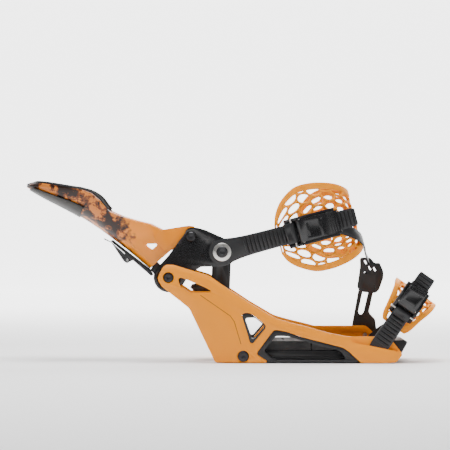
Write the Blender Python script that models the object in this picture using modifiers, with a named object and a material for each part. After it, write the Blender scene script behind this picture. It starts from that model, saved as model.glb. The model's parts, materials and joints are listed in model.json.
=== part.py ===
"""Rear-entry snowboard binding, open: the heel yoke and highback are tipped back on their hinge.

Lengths below are in millimetres and MM turns them into Blender's metres.  +X points to the toe,
+Z is up, -Y is the side with the buckles.  The origin is the middle of the mounting disc, on the
face that lies on the board.  Straps and highback are drawn in their own flat frames (along, across
the strap, outwards) and turned about their hinges.
"""

import math

import bmesh
import bpy
from mathutils import Matrix, Vector

MM = 0.001
GAP = 0.35  # clearance between pieces that lie against each other

# Hinge axes and bolts, as (x, z); every hinge of the straps and the yoke runs along Y.
YOKE_HINGE = (-174.6, 107.1)
HIGHBACK_HINGE = (-146.6, 158.3)
STRAP_HINGE = (-107.5, 138.9)
TOE_HINGE = (83.5, 14.0)
HANGER_HINGE = (78.0, 30.0)
RAIL_BOLT = (-80.9, 8.8)

ANKLE_SLOPE = 15.0  # degrees that the open ankle strap rises
TOE_SLOPE = 55.0
HIGHBACK_TILT = 56.8  # degrees that the open highback leans back from upright
SPINE_FOOT = (-198.5, 118.7)  # lowest point of the highback's spine

RAIL_INNER = 49.6  # inner face of a side rail at the yoke hinge, from the middle plane
RAIL_THICK = 10.0
RAIL_FLARE = 0.028  # how much the rails open towards the toe
STEP = 0.9  # height of the rails' lower edge over the board

YOKE_INNER, YOKE_OUTER = 39.0, 44.0
KNUCKLE_RADIUS = 19.0
KNUCKLE_FACE = 48.5

TRAY_LOW, TRAY_FLOOR, TRAY_RIM = 2.3, 8.0, 15.6
TRAY_REAR, TRAY_WALL_REAR, TRAY_FRONT = -112.0, -100.8, 94.0
FOOTBED_LOW, FOOTBED_TOP = 16.0, 27.5
TOE_CLEAR = 51.5  # half width of what lies between the toe strap's ends
DISC_RADIUS = 45.0
SCREW_SPACING = 40.0

HIGHBACK_THICK = 3.2
PAD_THICK = 4.0

ORANGE, BLACK, SOFT_BLACK, STEEL, SMOKE, AMBER = "orange", "black", "soft_black", "steel", "smoke", "amber"
FINISHES = {
    ORANGE: ((0.80, 0.33, 0.03, 1.0), 0.45, 0.0),
    AMBER: ((0.78, 0.30, 0.06, 1.0), 0.35, 0.0),
    BLACK: ((0.02, 0.02, 0.022, 1.0), 0.42, 0.0),
    SOFT_BLACK: ((0.03, 0.03, 0.032, 1.0), 0.85, 0.0),
    STEEL: ((0.62, 0.61, 0.60, 1.0), 0.25, 1.0),
    SMOKE: ((0.22, 0.22, 0.23, 1.0), 0.30, 0.0),
}


# ---------------------------------------------------------------- scene and helpers

def clear_scene():
    for thing in list(bpy.data.objects):
        bpy.data.objects.remove(thing, do_unlink=True)


def collection(name):
    made = bpy.data.collections.new(name)
    bpy.context.scene.collection.children.link(made)
    return made


def finish(name):
    """The Principled material of one finish."""
    if name in bpy.data.materials:
        return bpy.data.materials[name]
    colour, roughness, metallic = FINISHES[name]
    material = bpy.data.materials.new(name)
    material.use_nodes = True
    shader = material.node_tree.nodes["Principled BSDF"]
    shader.inputs["Base Color"].default_value = colour
    shader.inputs["Roughness"].default_value = roughness
    shader.inputs["Metallic"].default_value = metallic
    return material


def add(name, mesh, material, cutter=False):
    thing = bpy.data.objects.new(name, mesh)
    (CUTTERS if cutter else PARTS).objects.link(thing)
    if cutter:
        thing.hide_render = True
        thing.display_type = "WIRE"
    else:
        mesh.materials.append(finish(material))
    return thing


def rounded(corners):
    """Outline from corners (a, b) or (a, b, radius); a corner with a radius becomes an arc."""
    points = []
    for i, corner in enumerate(corners):
        here = Vector(corner[:2])
        radius = corner[2] if len(corner) > 2 else 0.0
        back = Vector(corners[i - 1][:2]) - here
        ahead = Vector(corners[(i + 1) % len(corners)][:2]) - here
        turn = math.pi - back.angle(ahead)
        if radius == 0.0 or turn < 0.05:
            points.append(here)
            continue
        reach = min(radius * math.tan(turn / 2), 0.46 * min(back.length, ahead.length))
        radius = reach / math.tan(turn / 2)
        to_centre = (back.normalized() + ahead.normalized()).normalized() * (radius / math.cos(turn / 2))
        arm = here + back.normalized() * reach - (here + to_centre)
        steps = max(1 if radius < 2.2 else 2, round(math.degrees(turn) / 30))
        way = 1.0 if back.cross(ahead) < 0 else -1.0
        for k in range(steps + 1):
            swing = Matrix.Rotation(way * turn * k / steps, 2)
            points.append(here + to_centre + swing @ arm)
    return points


def circle(centre, radius, count=20):
    """Points of a circle."""
    angles = [2 * math.pi * k / count for k in range(count)]
    return [Vector((centre[0] + radius * math.cos(a), centre[1] + radius * math.sin(a))) for a in angles]


def arc(centre, radius, start, end, count):
    """Points of an arc, angles in degrees from +X towards +Z."""
    angles = [math.radians(start + (end - start) * k / count) for k in range(count + 1)]
    return [(centre[0] + radius * math.cos(a), centre[1] + radius * math.sin(a)) for a in angles]


def slab(name, outline, low, high, material=BLACK, across="Y", holes=(), cutter=False):
    """A flat piece: an outline with holes, standing in XZ from y=low to y=high, or lying in XY."""
    curve = bpy.data.curves.new(name, "CURVE")
    curve.dimensions = "2D"
    curve.fill_mode = "BOTH"
    curve.extrude = (high - low) / 2 * MM
    for ring in (outline, *holes):
        spline = curve.splines.new("POLY")
        spline.points.add(len(ring) - 1)
        for point, place in zip(spline.points, ring):
            point.co = (place[0] * MM, place[1] * MM, 0.0, 1.0)
        spline.use_cyclic_u = True
    mesh = drawn_mesh(name, curve)
    middle = (low + high) / 2 * MM
    if across == "Y":
        mesh.transform(Matrix.Translation((0, middle, 0)) @ Matrix.Rotation(math.pi / 2, 4, "X"))
    else:
        mesh.transform(Matrix.Translation((0, 0, middle)))
    return add(name, mesh, material, cutter)


def drawn_mesh(name, curve):
    """The mesh of a curve, its caps joined to its sides and its faces outwards."""
    drawn = bpy.data.objects.new(name + "_outline", curve)
    CUTTERS.objects.link(drawn)
    depsgraph = bpy.context.evaluated_depsgraph_get()
    mesh = bpy.data.meshes.new_from_object(drawn.evaluated_get(depsgraph))
    bpy.data.objects.remove(drawn)
    form = bmesh.new()
    form.from_mesh(mesh)
    bmesh.ops.remove_doubles(form, verts=form.verts, dist=0.000002)
    bmesh.ops.recalc_face_normals(form, faces=form.faces)
    form.to_mesh(mesh)
    form.free()
    return mesh


def modify(thing, kind, **settings):
    modifier = thing.modifiers.new(kind.title(), kind)
    for key, value in settings.items():
        setattr(modifier, key, value)
    return modifier


def soften(thing, width, segments=1, angle=40):
    """Rounds the sharp edges."""
    modify(
        thing, "BEVEL", width=width * MM, segments=segments, limit_method="ANGLE",
        angle_limit=math.radians(angle), use_clamp_overlap=True,
    )
    thing.data.shade_smooth()
    thing.data.set_sharp_from_angle(angle=math.radians(30))
    return thing


def shade(thing, angle=35):
    thing.data.shade_smooth()
    thing.data.set_sharp_from_angle(angle=math.radians(angle))
    return thing


def hide(other):
    """Makes a piece that only shapes another one a cutter."""
    for held in list(other.users_collection):
        held.objects.unlink(other)
    CUTTERS.objects.link(other)
    other.hide_render = True
    other.display_type = "WIRE"


def boolean(thing, operation, *others):
    for other in others:
        modify(thing, "BOOLEAN", operation=operation, object=other, solver="EXACT")
        hide(other)
    return thing


def join(thing, *others):
    return boolean(thing, "UNION", *others)


def cut(thing, *others):
    return boolean(thing, "DIFFERENCE", *others)


def bore(name, centre, radius, low, high, count=12):
    """A round cutter along Y."""
    return slab(name, circle(centre, radius, count), low, high, cutter=True)


def turned(name, profile, place, aim, material, steps=14):
    """A turned piece: profile (radius, height) from the top down, or a closed ring that ends as it starts."""
    ring = profile[0] == profile[-1]
    points = [(r * MM, 0.0, h * MM) for r, h in (profile[:-1] if ring else profile)]
    edges = [(i, (i + 1) % len(points)) for i in range(len(points) if ring else len(points) - 1)]
    mesh = bpy.data.meshes.new(name)
    mesh.from_pydata(points, edges, [])
    thing = add(name, mesh, material)
    modify(
        thing, "SCREW", steps=steps, render_steps=steps, use_merge_vertices=True,
        merge_threshold=0.00001, use_smooth_shade=False,
    )
    thing.location = Vector(place) * MM
    thing.rotation_mode = "QUATERNION"
    thing.rotation_quaternion = Vector((0, 0, 1)).rotation_difference(Vector(aim))
    return thing


def bolt(name, centre, side, head, shank, material=BLACK, socket=2.2):
    """A bolt along Y. head and shank are (radius, from |y|, to |y|); side is -1 or +1."""
    head_radius, head_low, head_high = head
    shank_radius, shank_low = shank
    top = head_high - shank_low
    seat = head_low - shank_low
    profile = [
        (0.0, top), (head_radius - 1.0, top), (head_radius, top - 1.0), (head_radius, seat),
        (shank_radius, seat), (shank_radius, 0.0), (0.0, 0.0),
    ]
    place = (centre[0], side * shank_low, centre[1])
    thing = turned(name, profile, place, (0, side, 0), material)
    if socket:
        low, high = sorted((side * (head_high - 2.2), side * (head_high + 1.0)))
        cut(thing, slab(name + "_socket", circle(centre, socket, 6), low, high, cutter=True))
    return thing


def spline_point(points, t):
    """A point of the smooth curve through the given points, t from 0 to 1."""
    last = len(points) - 1
    place = min(max(t, 0.0), 1.0) * last
    i = min(int(place), last - 1)
    f = place - i
    a, b, c, d = points[max(i - 1, 0)], points[i], points[i + 1], points[min(i + 2, last)]
    return [
        0.5 * (2 * q + (r - p) * f + (2 * p - 5 * q + 4 * r - s) * f * f + (3 * q - p - 3 * r + s) * f ** 3)
        for p, q, r, s in zip(a, b, c, d)
    ]


def sheet(name, along, across, place, thickness, material, frame=None):
    """A curved sheet: a grid laid out by place(a, b), given a wall."""
    form = bmesh.new()
    bmesh.ops.create_grid(form, x_segments=along, y_segments=across, size=0.5)
    for vertex in form.verts:
        vertex.co = Vector(place(vertex.co.x + 0.5, vertex.co.y + 0.5)) * MM
    if frame is not None:
        bmesh.ops.transform(form, matrix=frame, verts=form.verts)
    bmesh.ops.recalc_face_normals(form, faces=form.faces)
    mesh = bpy.data.meshes.new(name)
    form.to_mesh(mesh)
    form.free()
    thing = add(name, mesh, material)
    modify(thing, "SOLIDIFY", thickness=thickness * MM, offset=0.0, use_even_offset=True)
    return shade(thing)


def ribbon(name, stations, along, thickness, material, frame, across=2):
    """A strap. Each station is (u, y, low edge, high edge) in the strap's own frame."""

    def place(a, b):
        u, y, low, high = spline_point(stations, a)
        return (u, y, low + (high - low) * b)

    return sheet(name, along, across, place, thickness, material, frame)


def block(name, low, high, material=BLACK, frame=None, cutter=False):
    """A box between two corners."""
    outline = [(low[0], low[1]), (high[0], low[1]), (high[0], high[1]), (low[0], high[1])]
    thing = slab(name, outline, low[2], high[2], material, across="Z", cutter=cutter)
    if frame is not None:
        thing.data.transform(frame)
    return thing


def turn_frame(hinge, degrees, y=0.0):
    """The frame of a strap or the highback: its origin on the hinge, turned about Y."""
    place = Vector((hinge[0], y, hinge[1])) * MM
    return Matrix.Translation(place) @ Matrix.Rotation(math.radians(degrees), 4, "Y")


def axis(name, place):
    """An empty on a joint's axis, for the pieces that move about it."""
    empty = bpy.data.objects.new(name, None)
    empty.empty_display_size = 0.02
    empty.location = Vector(place) * MM
    PARTS.objects.link(empty)
    return empty


def attach(parent, *pieces):
    bpy.context.view_layer.update()
    for piece in pieces:
        piece.parent = parent
        piece.matrix_parent_inverse = parent.matrix_world.inverted()


def inset(corners, amount):
    """The outline moved inwards (its corners run anticlockwise)."""
    moved = []
    for i, corner in enumerate(corners):
        here = Vector(corner[:2])
        back = (Vector(corners[i - 1][:2]) - here).normalized()
        ahead = (Vector(corners[(i + 1) % len(corners)][:2]) - here).normalized()
        turn = ahead.cross(back)
        shift = (back + ahead) * (amount / turn) if abs(turn) > 0.05 else Vector((-ahead.y, ahead.x)) * amount
        moved.append((here.x + shift.x, here.y + shift.y, *corner[2:]))
    return moved


# ---------------------------------------------------------------- side rails

ARCH = [  # opening under the rail that the sill frame fills, anticlockwise
    (66.0, STEP, 2), (51.5, 14.3, 8), (43.6, 19.8, 10), (13.9, 27.4), (-10.0, 33.6, 30),
    (-24.8, 39.0, 20), (-42.6, 42.4, 6), (-65.0, 11.6, 3), (-48.0, STEP, 1.5),
]
SILL_WINDOW = [
    (47.4, 4.6, 2), (43.0, 12.4, 4), (37.0, 17.0, 5), (14.6, 21.8), (-3.6, 27.6, 20),
    (-26.0, 34.0, 12), (-40.5, 34.2, 4), (-55.0, 15.6, 3), (-46.0, 7.6, 3), (-38.4, 4.0, 3),
]
TRIANGLE = [(-51.0, 46.5, 4), (-72.0, 63.0, 10), (-84.0, 63.0, 4), (-71.2, 21.6, 3)]
TRIANGLE_WINDOW = [(-53.6, 46.6, 3), (-66.5, 57.2, 5), (-79.4, 56.6, 3), (-69.6, 28.0, 2.5)]
UPPER_WINDOW = [
    (-117.5, 88.8, 1.5), (-129.0, 95.0, 14), (-151.0, 104.4, 20), (-163.0, 108.6, 3),
    (-160.3, 96.6, 5), (-147.5, 88.0, 6),
]
RAIL_BACK = [  # from the heel block's foot round the hinge knob, clockwise seen from the buckle side
    (-116.0, STEP, 3), (-148.5, 68.6, 10), (-183.1, 96.1, 6), (-188.6, 106.0, 6), (-182.0, 119.5, 5),
    (-177.8, 123.2, 5), (-168.8, 123.1, 6), (-141.3, 114.8, 30), (-123.4, 109.4, 20),
    (-98.3, 92.0, 60), (-72.0, 74.6, 60), (-40.5, 56.1, 30), (-20.4, 50.4, 30), (-3.9, 46.5, 30),
]
BUCKLE_SIDE_TOE = [(27.5, 37.6, 20), (50.0, 33.4, 5), (96.0, 33.4, 5), (107.3, 26.0, 4)]
FAR_SIDE_TOE = [(12.0, 42.3, 10), (80.0, 42.0, 8), (92.5, 29.5, 6), (108.0, 22.0, 6)]
RAIL_FRONT = [(116.6, 13.6, 1.5), (117.0, 10.2, 2.5), (110.0, 1.6, 5), (100.0, STEP, 5)]
HEEL_CREASE = [
    (-52.0, -4.0), (-77.9, 17.3), (-97.0, 28.0), (-113.8, 46.0), (-134.1, 74.6), (-149.6, 85.4),
    (-162.9, 95.0), (-172.0, 97.2), (-181.0, 100.6), (-192.0, 107.4),
]
HEEL_EDGE = [
    (-72.0, -18.0), (-104.0, -10.0), (-122.0, -4.0), (-133.0, 28.0), (-153.0, 68.0), (-168.0, 82.0),
    (-179.0, 86.0), (-189.0, 92.0), (-200.0, 101.0),
]
TOP_CREASE = [
    (-194.0, 117.2), (-165.0, 115.8), (-141.0, 107.6), (-121.0, 100.6), (-96.0, 83.0), (-70.0, 66.6),
    (-40.0, 49.4), (-4.0, 40.6), (28.0, 31.4),
]
TOP_EDGE = [
    (-196.0, 125.0), (-165.0, 128.0), (-139.0, 120.0), (-119.0, 113.0), (-93.0, 96.0), (-68.0, 79.0),
    (-38.0, 62.0), (-2.0, 53.0), (30.0, 43.0),
]


def flare(thing, side):
    """Shears a piece of the side rail so that it opens towards the toe."""
    for vertex in thing.data.vertices:
        vertex.co.y += side * RAIL_FLARE * (vertex.co.x - YOKE_HINGE[0] * MM)
    thing.data.update()
    return thing


def rail_slab(name, outline, side, low, high, material=ORANGE, holes=(), cutter=False):
    """A slab of the side rail between two depths measured outwards from its inner face."""
    ends = sorted((side * (RAIL_INNER + low), side * (RAIL_INNER + high)))
    return flare(slab(name, outline, *ends, material, holes=holes, cutter=cutter), side)


def facet(name, crease, edge, side, depth):
    """A cutter that slopes the rail's outer face from a crease down to an edge."""
    face = RAIL_INNER + RAIL_THICK
    form = bmesh.new()
    rows = []
    for (x0, z0), (x1, z1) in zip(crease, edge):
        inner = form.verts.new(Vector((x0, side * face, z0)) * MM)
        lowered = form.verts.new(Vector((x1, side * (face - depth), z1)) * MM)
        far = form.verts.new(Vector((x1, side * (face + 6), z1)) * MM)
        near = form.verts.new(Vector((x0, side * (face + 6), z0)) * MM)
        rows.append((inner, lowered, far, near))
    for first, second in zip(rows, rows[1:]):
        for k in range(4):
            form.faces.new((first[k], first[(k + 1) % 4], second[(k + 1) % 4], second[k]))
    form.faces.new(rows[0][::-1])
    form.faces.new(rows[-1])
    bmesh.ops.triangulate(form, faces=form.faces)
    bmesh.ops.recalc_face_normals(form, faces=form.faces)
    mesh = bpy.data.meshes.new(name)
    form.to_mesh(mesh)
    form.free()
    return flare(add(name, mesh, None, cutter=True), side)


def side_rail(name, side):
    """One orange side rail with its windows, facets, bolt seats and, at the toe, the strap's slot."""
    buckle_side = side < 0
    toe = BUCKLE_SIDE_TOE if buckle_side else FAR_SIDE_TOE
    outline = rounded(RAIL_BACK + toe + RAIL_FRONT + ARCH)
    holes = [rounded(TRIANGLE), rounded(UPPER_WINDOW)]
    rail = soften(rail_slab(name, outline, side, 0, RAIL_THICK, holes=holes), 0.7, angle=50)
    cut(rail, facet(name + "_heel_facet", HEEL_CREASE, HEEL_EDGE, side, 4.4))
    cut(rail, facet(name + "_top_facet", TOP_CREASE, TOP_EDGE, side, 3.9))
    face = RAIL_INNER + RAIL_THICK
    for label, centre, seat_radius, seat_depth, radius in (
        ("pivot", YOKE_HINGE, 6.9, 5.0, 5.0), ("rail_bolt", RAIL_BOLT, 7.4, 3.6, 3.9),
    ):
        spread = RAIL_FLARE * (centre[0] - YOKE_HINGE[0])
        for suffix, size, low, high in (
            ("seat", seat_radius, face + spread - seat_depth, face + 6), ("hole", radius, 40, face + 6),
        ):
            ends = sorted((side * low, side * high))
            cut(rail, bore(f"{name}_{label}_{suffix}", centre, size, *ends, count=18))
    if buckle_side:
        lowered = [(49.0, 36.0), (56.5, 25.8, 5), (75.0, 22.6), (99.5, 17.6), (122.0, 12.8), (122.0, 44.0), (49.0, 44.0)]
        cut(rail, rail_slab(name + "_wall_step", rounded(lowered), side, 6.3, 20, cutter=True))
        slot = [(60.0, 3.6, 3), (112.0, 3.6, 3), (112.0, 44.0), (52.0, 44.0)]
        cut(rail, rail_slab(name + "_strap_slot", rounded(slot), side, 2.3, 6.9, cutter=True))
        toe_spread = RAIL_FLARE * (TOE_HINGE[0] - YOKE_HINGE[0])
        ends = sorted((side * (RAIL_INNER + toe_spread - 3), side * (RAIL_INNER + toe_spread + 8.6)))
        cut(rail, bore(name + "_toe_bolt_hole", TOE_HINGE, 3.2, *ends))
    else:
        spread = RAIL_FLARE * (HANGER_HINGE[0] - YOKE_HINGE[0])
        cut(rail, bore(name + "_hanger_hole", HANGER_HINGE, 3.3, RAIL_INNER + spread - 3, face + 12))
        cut(rail, bore(name + "_toe_bolt_hole", TOE_HINGE, 3.2, RAIL_INNER + spread - 3, RAIL_INNER + spread + 7))
    return rail


def rail_fittings(name, side):
    """Black sill frame under the rail's arch and black insert in the triangular window."""
    sill = rail_slab(
        "sill_frame_" + name, rounded(inset(ARCH, GAP)), side, 0.9, RAIL_THICK - 0.5, BLACK,
        holes=[rounded(SILL_WINDOW)],
    )
    soften(sill, 1.2, angle=40)
    grommet = rail_slab(
        "window_insert_" + name, rounded(inset(TRIANGLE, GAP)), side, 1.2, RAIL_THICK - 0.2, BLACK,
        holes=[rounded(TRIANGLE_WINDOW)],
    )
    soften(grommet, 0.8, angle=40)
    spread = RAIL_FLARE * (RAIL_BOLT[0] - YOKE_HINGE[0])
    face = RAIL_INNER + RAIL_THICK + spread
    bolt("rail_bolt_" + name, RAIL_BOLT, side, (7.0, face - 3.2, face - 0.2), (3.4, face - 18.0), STEEL)
    face = RAIL_INNER + RAIL_THICK
    bolt("pivot_bolt_" + name, YOKE_HINGE, side, (6.45, face - 4.6, face - 1.2), (4.6, 38.2), BLACK)


# ---------------------------------------------------------------- base

def inner_width(x, gap=0.5):
    return RAIL_INNER + RAIL_FLARE * (x - YOKE_HINGE[0]) - gap


def mirrored(half):
    """A closed outline from its +Y half, listed from heel to toe."""
    return [(x, y) for x, y, *_ in half] + [(x, -y) for x, y, *_ in reversed(half)]


def base_tray():
    floor = mirrored([
        (TRAY_REAR, 30.0), (TRAY_REAR, inner_width(TRAY_REAR) - 2), (TRAY_REAR + 4, inner_width(TRAY_REAR + 4)),
        (68.0, inner_width(68.0)), (69.0, TOE_CLEAR), (TRAY_FRONT, TOE_CLEAR),
    ])
    tray = slab("base_tray", floor, TRAY_LOW, TRAY_FLOOR, BLACK, across="Z", holes=[circle((0, 0), DISC_RADIUS + 0.5, 32)])
    outside = [(TRAY_WALL_REAR, 20.0), (TRAY_WALL_REAR, inner_width(TRAY_WALL_REAR, 1)), (62.0, inner_width(62.0, 1))]
    inside = [(62.0, 48.0), (-30.0, 47.0), (-70.0, 41.6), (-88.0, 36.0), (-92.4, 20.0)]
    rim = outside + inside
    rim += [(x, -y) for x, y in reversed(rim)]
    join(tray, slab("tray_rim", rim, TRAY_FLOOR - 1, TRAY_RIM, across="Z", cutter=True))
    for side in (-1, 1):
        ends = sorted((side * 40.0, side * 60.0))
        cut(tray, bore(f"tray_bolt_hole_{side}", RAIL_BOLT, 3.8, *ends))
    return tray


def footbed():
    """Two cushioning pads on the tray, with grooves across their tops."""
    heel = mirrored([(-93.5, inner_width(-93.5, 2) - 4), (-89.5, inner_width(-89.5, 2)), (4.0, inner_width(4.0, 2))])
    front = mirrored([(5.0, inner_width(5.0, 2)), (60.0, inner_width(60.0, 2)), (61.0, TOE_CLEAR), (94.5, TOE_CLEAR)])
    for name, outline, grooves in (("footbed_heel_pad", heel, (-74, -52, -30, -8)), ("footbed_toe_pad", front, (24, 44, 72, 84))):
        pad = slab(name, outline, FOOTBED_LOW, FOOTBED_TOP, SOFT_BLACK, across="Z")
        for x in grooves:
            cut(pad, block(f"{name}_groove_{x}", (x - 1.2, -40, FOOTBED_TOP - 1.5), (x + 1.2, 40, FOOTBED_TOP + 2), cutter=True))
        soften(pad, 1.6, angle=50)


def toe_ramp():
    nose = rounded([(96.0, 14.0), (105.0, 3.2, 4), (112.6, 3.0, 4), (125.4, 26.4, 1.5), (121.5, 28.6, 3), (96.0, 28.0)])
    ramp = slab("toe_ramp", nose, -TOE_CLEAR, TOE_CLEAR, BLACK)
    tongue = [(64.0, -38.0), (98.0, -38.0), (98.0, 38.0), (64.0, 38.0)]
    join(ramp, slab("toe_ramp_tongue", tongue, TRAY_FLOOR + GAP, FOOTBED_LOW - GAP, across="Z", cutter=True))
    for y in (-34, -17, 0, 17, 34):
        cut(ramp, block(f"ramp_rib_{y}", (109.0, y - 5.5, 6.0), (128.0, y + 5.5, 23.0), cutter=True,
                        frame=None))
    soften(ramp, 0.8, angle=45)
    attach(axis("toe_ramp_slide_axis", (96.0, 0, 16.0)), ramp)


def mounting_disc():
    holder = axis("disc_turn_axis", (0, 0, 4.0))
    radius = DISC_RADIUS
    disc = turned(
        "mounting_disc",
        [(0.0, 7.2), (30.0, 8.4), (radius - 1.5, 8.4), (radius, 6.9), (radius, 0.0), (0.0, 0.0)],
        (0, 0, 0), (0, 0, 1), BLACK, steps=32,
    )
    half = SCREW_SPACING / 2
    for i, (x, y) in enumerate(((-half, -half), (half, -half), (half, half), (-half, half)), start=1):
        for suffix, size, low in (("hole", 3.4, -1.0), ("seat", 6.6, 3.6)):
            cut(disc, slab(f"disc_{suffix}_{i}", circle((x, y), size, 14), low, 12.0, across="Z", cutter=True))
        screw = turned(
            f"disc_screw_{i}",
            [(0.0, 6.6), (4.6, 6.6), (6.0, 5.4), (6.0, 4.0), (3.0, 4.0), (3.0, 0.8), (2.5, 0.3), (0.0, 0.3)],
            (x, y, 0), (0, 0, 1), STEEL, steps=12,
        )
        cut(screw, slab(f"disc_screw_socket_{i}", circle((x, y), 2.0, 6), 4.6, 9.0, across="Z", cutter=True))
        attach(holder, shade(screw))
    attach(holder, shade(disc))


def gasket():
    outline = mirrored([(-108.0, 38.0), (-104.0, 46.0), (60.0, 50.0), (66.0, 46.0), (90.0, 46.0)])
    soften(
        slab("base_gasket", outline, 0.0, TRAY_LOW - 0.3, SOFT_BLACK, across="Z", holes=[circle((0, 0), DISC_RADIUS + 2.5, 32)]),
        0.4, angle=60,
    )


# ---------------------------------------------------------------- heel yoke, pedal, highback

def heel_yoke():
    """Two side plates joined by a round cross-piece behind the hinge."""
    hinge = YOKE_HINGE
    outline = rounded([
        (-153.5, 169.6, 9), (-139.0, 169.4, 8), (-128.0, 166.2, 14), (-91.5, 149.6, 13), (-90.6, 126.0, 12),
        (-106.0, 120.8, 14), (-134.5, 120.4, 8), (-143.0, 113.6, 12), (-153.0, 104.0, 10), (-159.0, 93.6, 6),
    ]) + arc(hinge, KNUCKLE_RADIUS, -42, -212, 9) + rounded([(-182.0, 125.2, 3), (-169.0, 142.4, 30), (-160.6, 154.0, 8)])
    outline = [Vector(point) for point in outline]
    yoke = soften(slab("heel_yoke", outline, YOKE_INNER, YOKE_OUTER), 0.8, angle=60)
    for side in (-1, 1):
        ends = sorted((side * YOKE_INNER, side * YOKE_OUTER))
        if side < 0:
            join(yoke, soften(slab("yoke_plate", outline, *ends, cutter=True), 0.8, angle=60))
        ends = sorted((side * (YOKE_OUTER - 1), side * KNUCKLE_FACE))
        collar = circle(hinge, KNUCKLE_RADIUS - 1.5, 24)
        ring = slab(f"knuckle_ring_{side}", collar, *ends, cutter=True, holes=[circle(hinge, 15.0)])
        hub = slab(f"knuckle_hub_{side}", circle(hinge, 10.0), *ends, cutter=True)
        join(yoke, ring, hub)
    bar = arc(hinge, KNUCKLE_RADIUS - 1.2, 187, 300, 7) + arc(hinge, 12.5, 300, 187, 5)
    join(yoke, slab("yoke_cross_bar", bar, -YOKE_INNER - 2.5, YOKE_INNER + 2.5, cutter=True))
    for side in (-1, 1):
        ends = sorted((side * 30.0, side * 60.0))
        cut(yoke, bore(f"yoke_hinge_hole_{side}", hinge, 7.8, *ends))
        cut(yoke, bore(f"yoke_highback_hole_{side}", HIGHBACK_HINGE, 5.3, *ends))
        cut(yoke, bore(f"yoke_strap_hole_{side}", STRAP_HINGE, 5.3, *ends))
        ends = sorted((side * (YOKE_OUTER - 1.2), side * 60.0))
        cut(yoke, bore(f"yoke_recess_{side}", HIGHBACK_HINGE, 9.0, *ends, count=20))
        notch = [(-127.6, 142.0), (-122.6, 142.0), (-122.6, 154.0), (-127.6, 154.0)]
        ends = sorted((side * (YOKE_OUTER - 2.0), side * 60.0))
        cut(yoke, slab(f"yoke_notch_{side}", notch, *ends, cutter=True))
    return yoke


def yoke_hardware():
    pieces = []
    for name, side in (("outer", -1), ("inner", 1)):
        low, high = YOKE_INNER + 0.2, KNUCKLE_FACE + 0.5
        place = (YOKE_HINGE[0], side * low, YOKE_HINGE[1])
        bush = turned(
            "pivot_bush_" + name,
            [(5.0, high - low), (7.4, high - low), (7.4, 0.0), (5.0, 0.0), (5.0, high - low)],
            place, (0, side, 0), STEEL,
        )
        pieces.append(shade(bush))
        pieces.append(bolt(
            "highback_bolt_" + name, HIGHBACK_HINGE, side, (6.1, YOKE_OUTER - 0.8, YOKE_OUTER + 2.2), (4.9, 34.4), BLACK,
        ))
        pieces.append(hinge_spring("open_spring_" + name, side))
    pieces.append(bolt("strap_bolt", STRAP_HINGE, -1, (7.4, 48.9, 51.0), (4.9, 33.8), BLACK, socket=3.2))
    washer = turned(
        "strap_washer",
        [(5.3, 1.2), (7.2, 1.2), (11.4, 0.5), (11.6, 0.0), (5.3, 0.0), (5.3, 1.2)],
        (STRAP_HINGE[0], -47.5, STRAP_HINGE[1]), (0, -1, 0), STEEL, steps=32,
    )
    pieces.append(shade(washer))
    pieces.append(bolt("pedal_bolt_inner", STRAP_HINGE, 1, (7.4, YOKE_OUTER + 0.3, YOKE_OUTER + 3.2), (4.9, 33.8), BLACK))
    return pieces


def hinge_spring(name, side):
    """Two turns of wire in the knuckle's pocket, which hold the yoke open."""
    turns, wire, radius, per_turn = 1.8, 0.7, 12.5, 12
    curve = bpy.data.curves.new(name, "CURVE")
    curve.dimensions = "3D"
    curve.bevel_depth = wire * MM
    curve.bevel_resolution = 1
    curve.use_fill_caps = True
    spline = curve.splines.new("POLY")
    count = round(turns * per_turn)
    spline.points.add(count)
    for k, point in enumerate(spline.points):
        angle = 2 * math.pi * k / per_turn
        y = side * (YOKE_OUTER + 1.1 + 1.7 * k / per_turn)
        place = (YOKE_HINGE[0] + radius * math.cos(angle), y, YOKE_HINGE[1] + radius * math.sin(angle))
        point.co = (*(Vector(place) * MM), 1.0)
    return shade(add(name, drawn_mesh(name, curve), STEEL), 60)


def pedal():
    """The stirrup that the boot's heel treads down, hung from the strap bolts' axis."""
    strut = rounded([
        (-119.8, 151.2, 11), (-95.4, 151.2, 11), (-97.8, 89.6, 3), (-142.5, 89.4, 2), (-148.0, 94.4, 1.5),
        (-146.0, 97.0, 1.5), (-120.6, 98.6, 8),
    ])
    stirrup = slab("pedal_stirrup", strut, 35.0, 38.6)
    join(stirrup, slab("stirrup_arm", strut, -38.6, -35.0, cutter=True))
    plate = [(-98.6, 90.2), (-142.5, 90.0), (-147.0, 94.0), (-145.0, 96.4), (-98.8, 96.4)]
    join(stirrup, slab("stirrup_plate", plate, -36.5, 36.5, cutter=True))
    groove = rounded([(-114.0, 101.0, 2.5), (-107.5, 101.0, 2.5), (-107.5, 122.0, 2.5), (-114.0, 122.0, 2.5)])
    for side in (-1, 1):
        ends = sorted((side * 30.0, side * 45.0))
        cut(stirrup, bore(f"stirrup_hole_{side}", STRAP_HINGE, 5.3, *ends))
        ends = sorted((side * 37.2, side * 45.0))
        cut(stirrup, slab(f"stirrup_groove_{side}", groove, *ends, cutter=True))
    tread = slab("pedal_tread", [(-101.5, -31.0), (-142.0, -31.0), (-142.0, 31.0), (-101.5, 31.0)][::-1], 96.8, 99.0, SOFT_BLACK, across="Z")
    for x in (-136, -129, -122, -115, -108):
        cut(tread, block(f"tread_groove_{x}", (x - 1, -27, 98.0), (x + 1, 27, 101.0), cutter=True))
    soften(tread, 0.5, angle=50)
    attach(axis("pedal_hinge_axis", (STRAP_HINGE[0], 0, STRAP_HINGE[1])), stirrup, tread)


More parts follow.
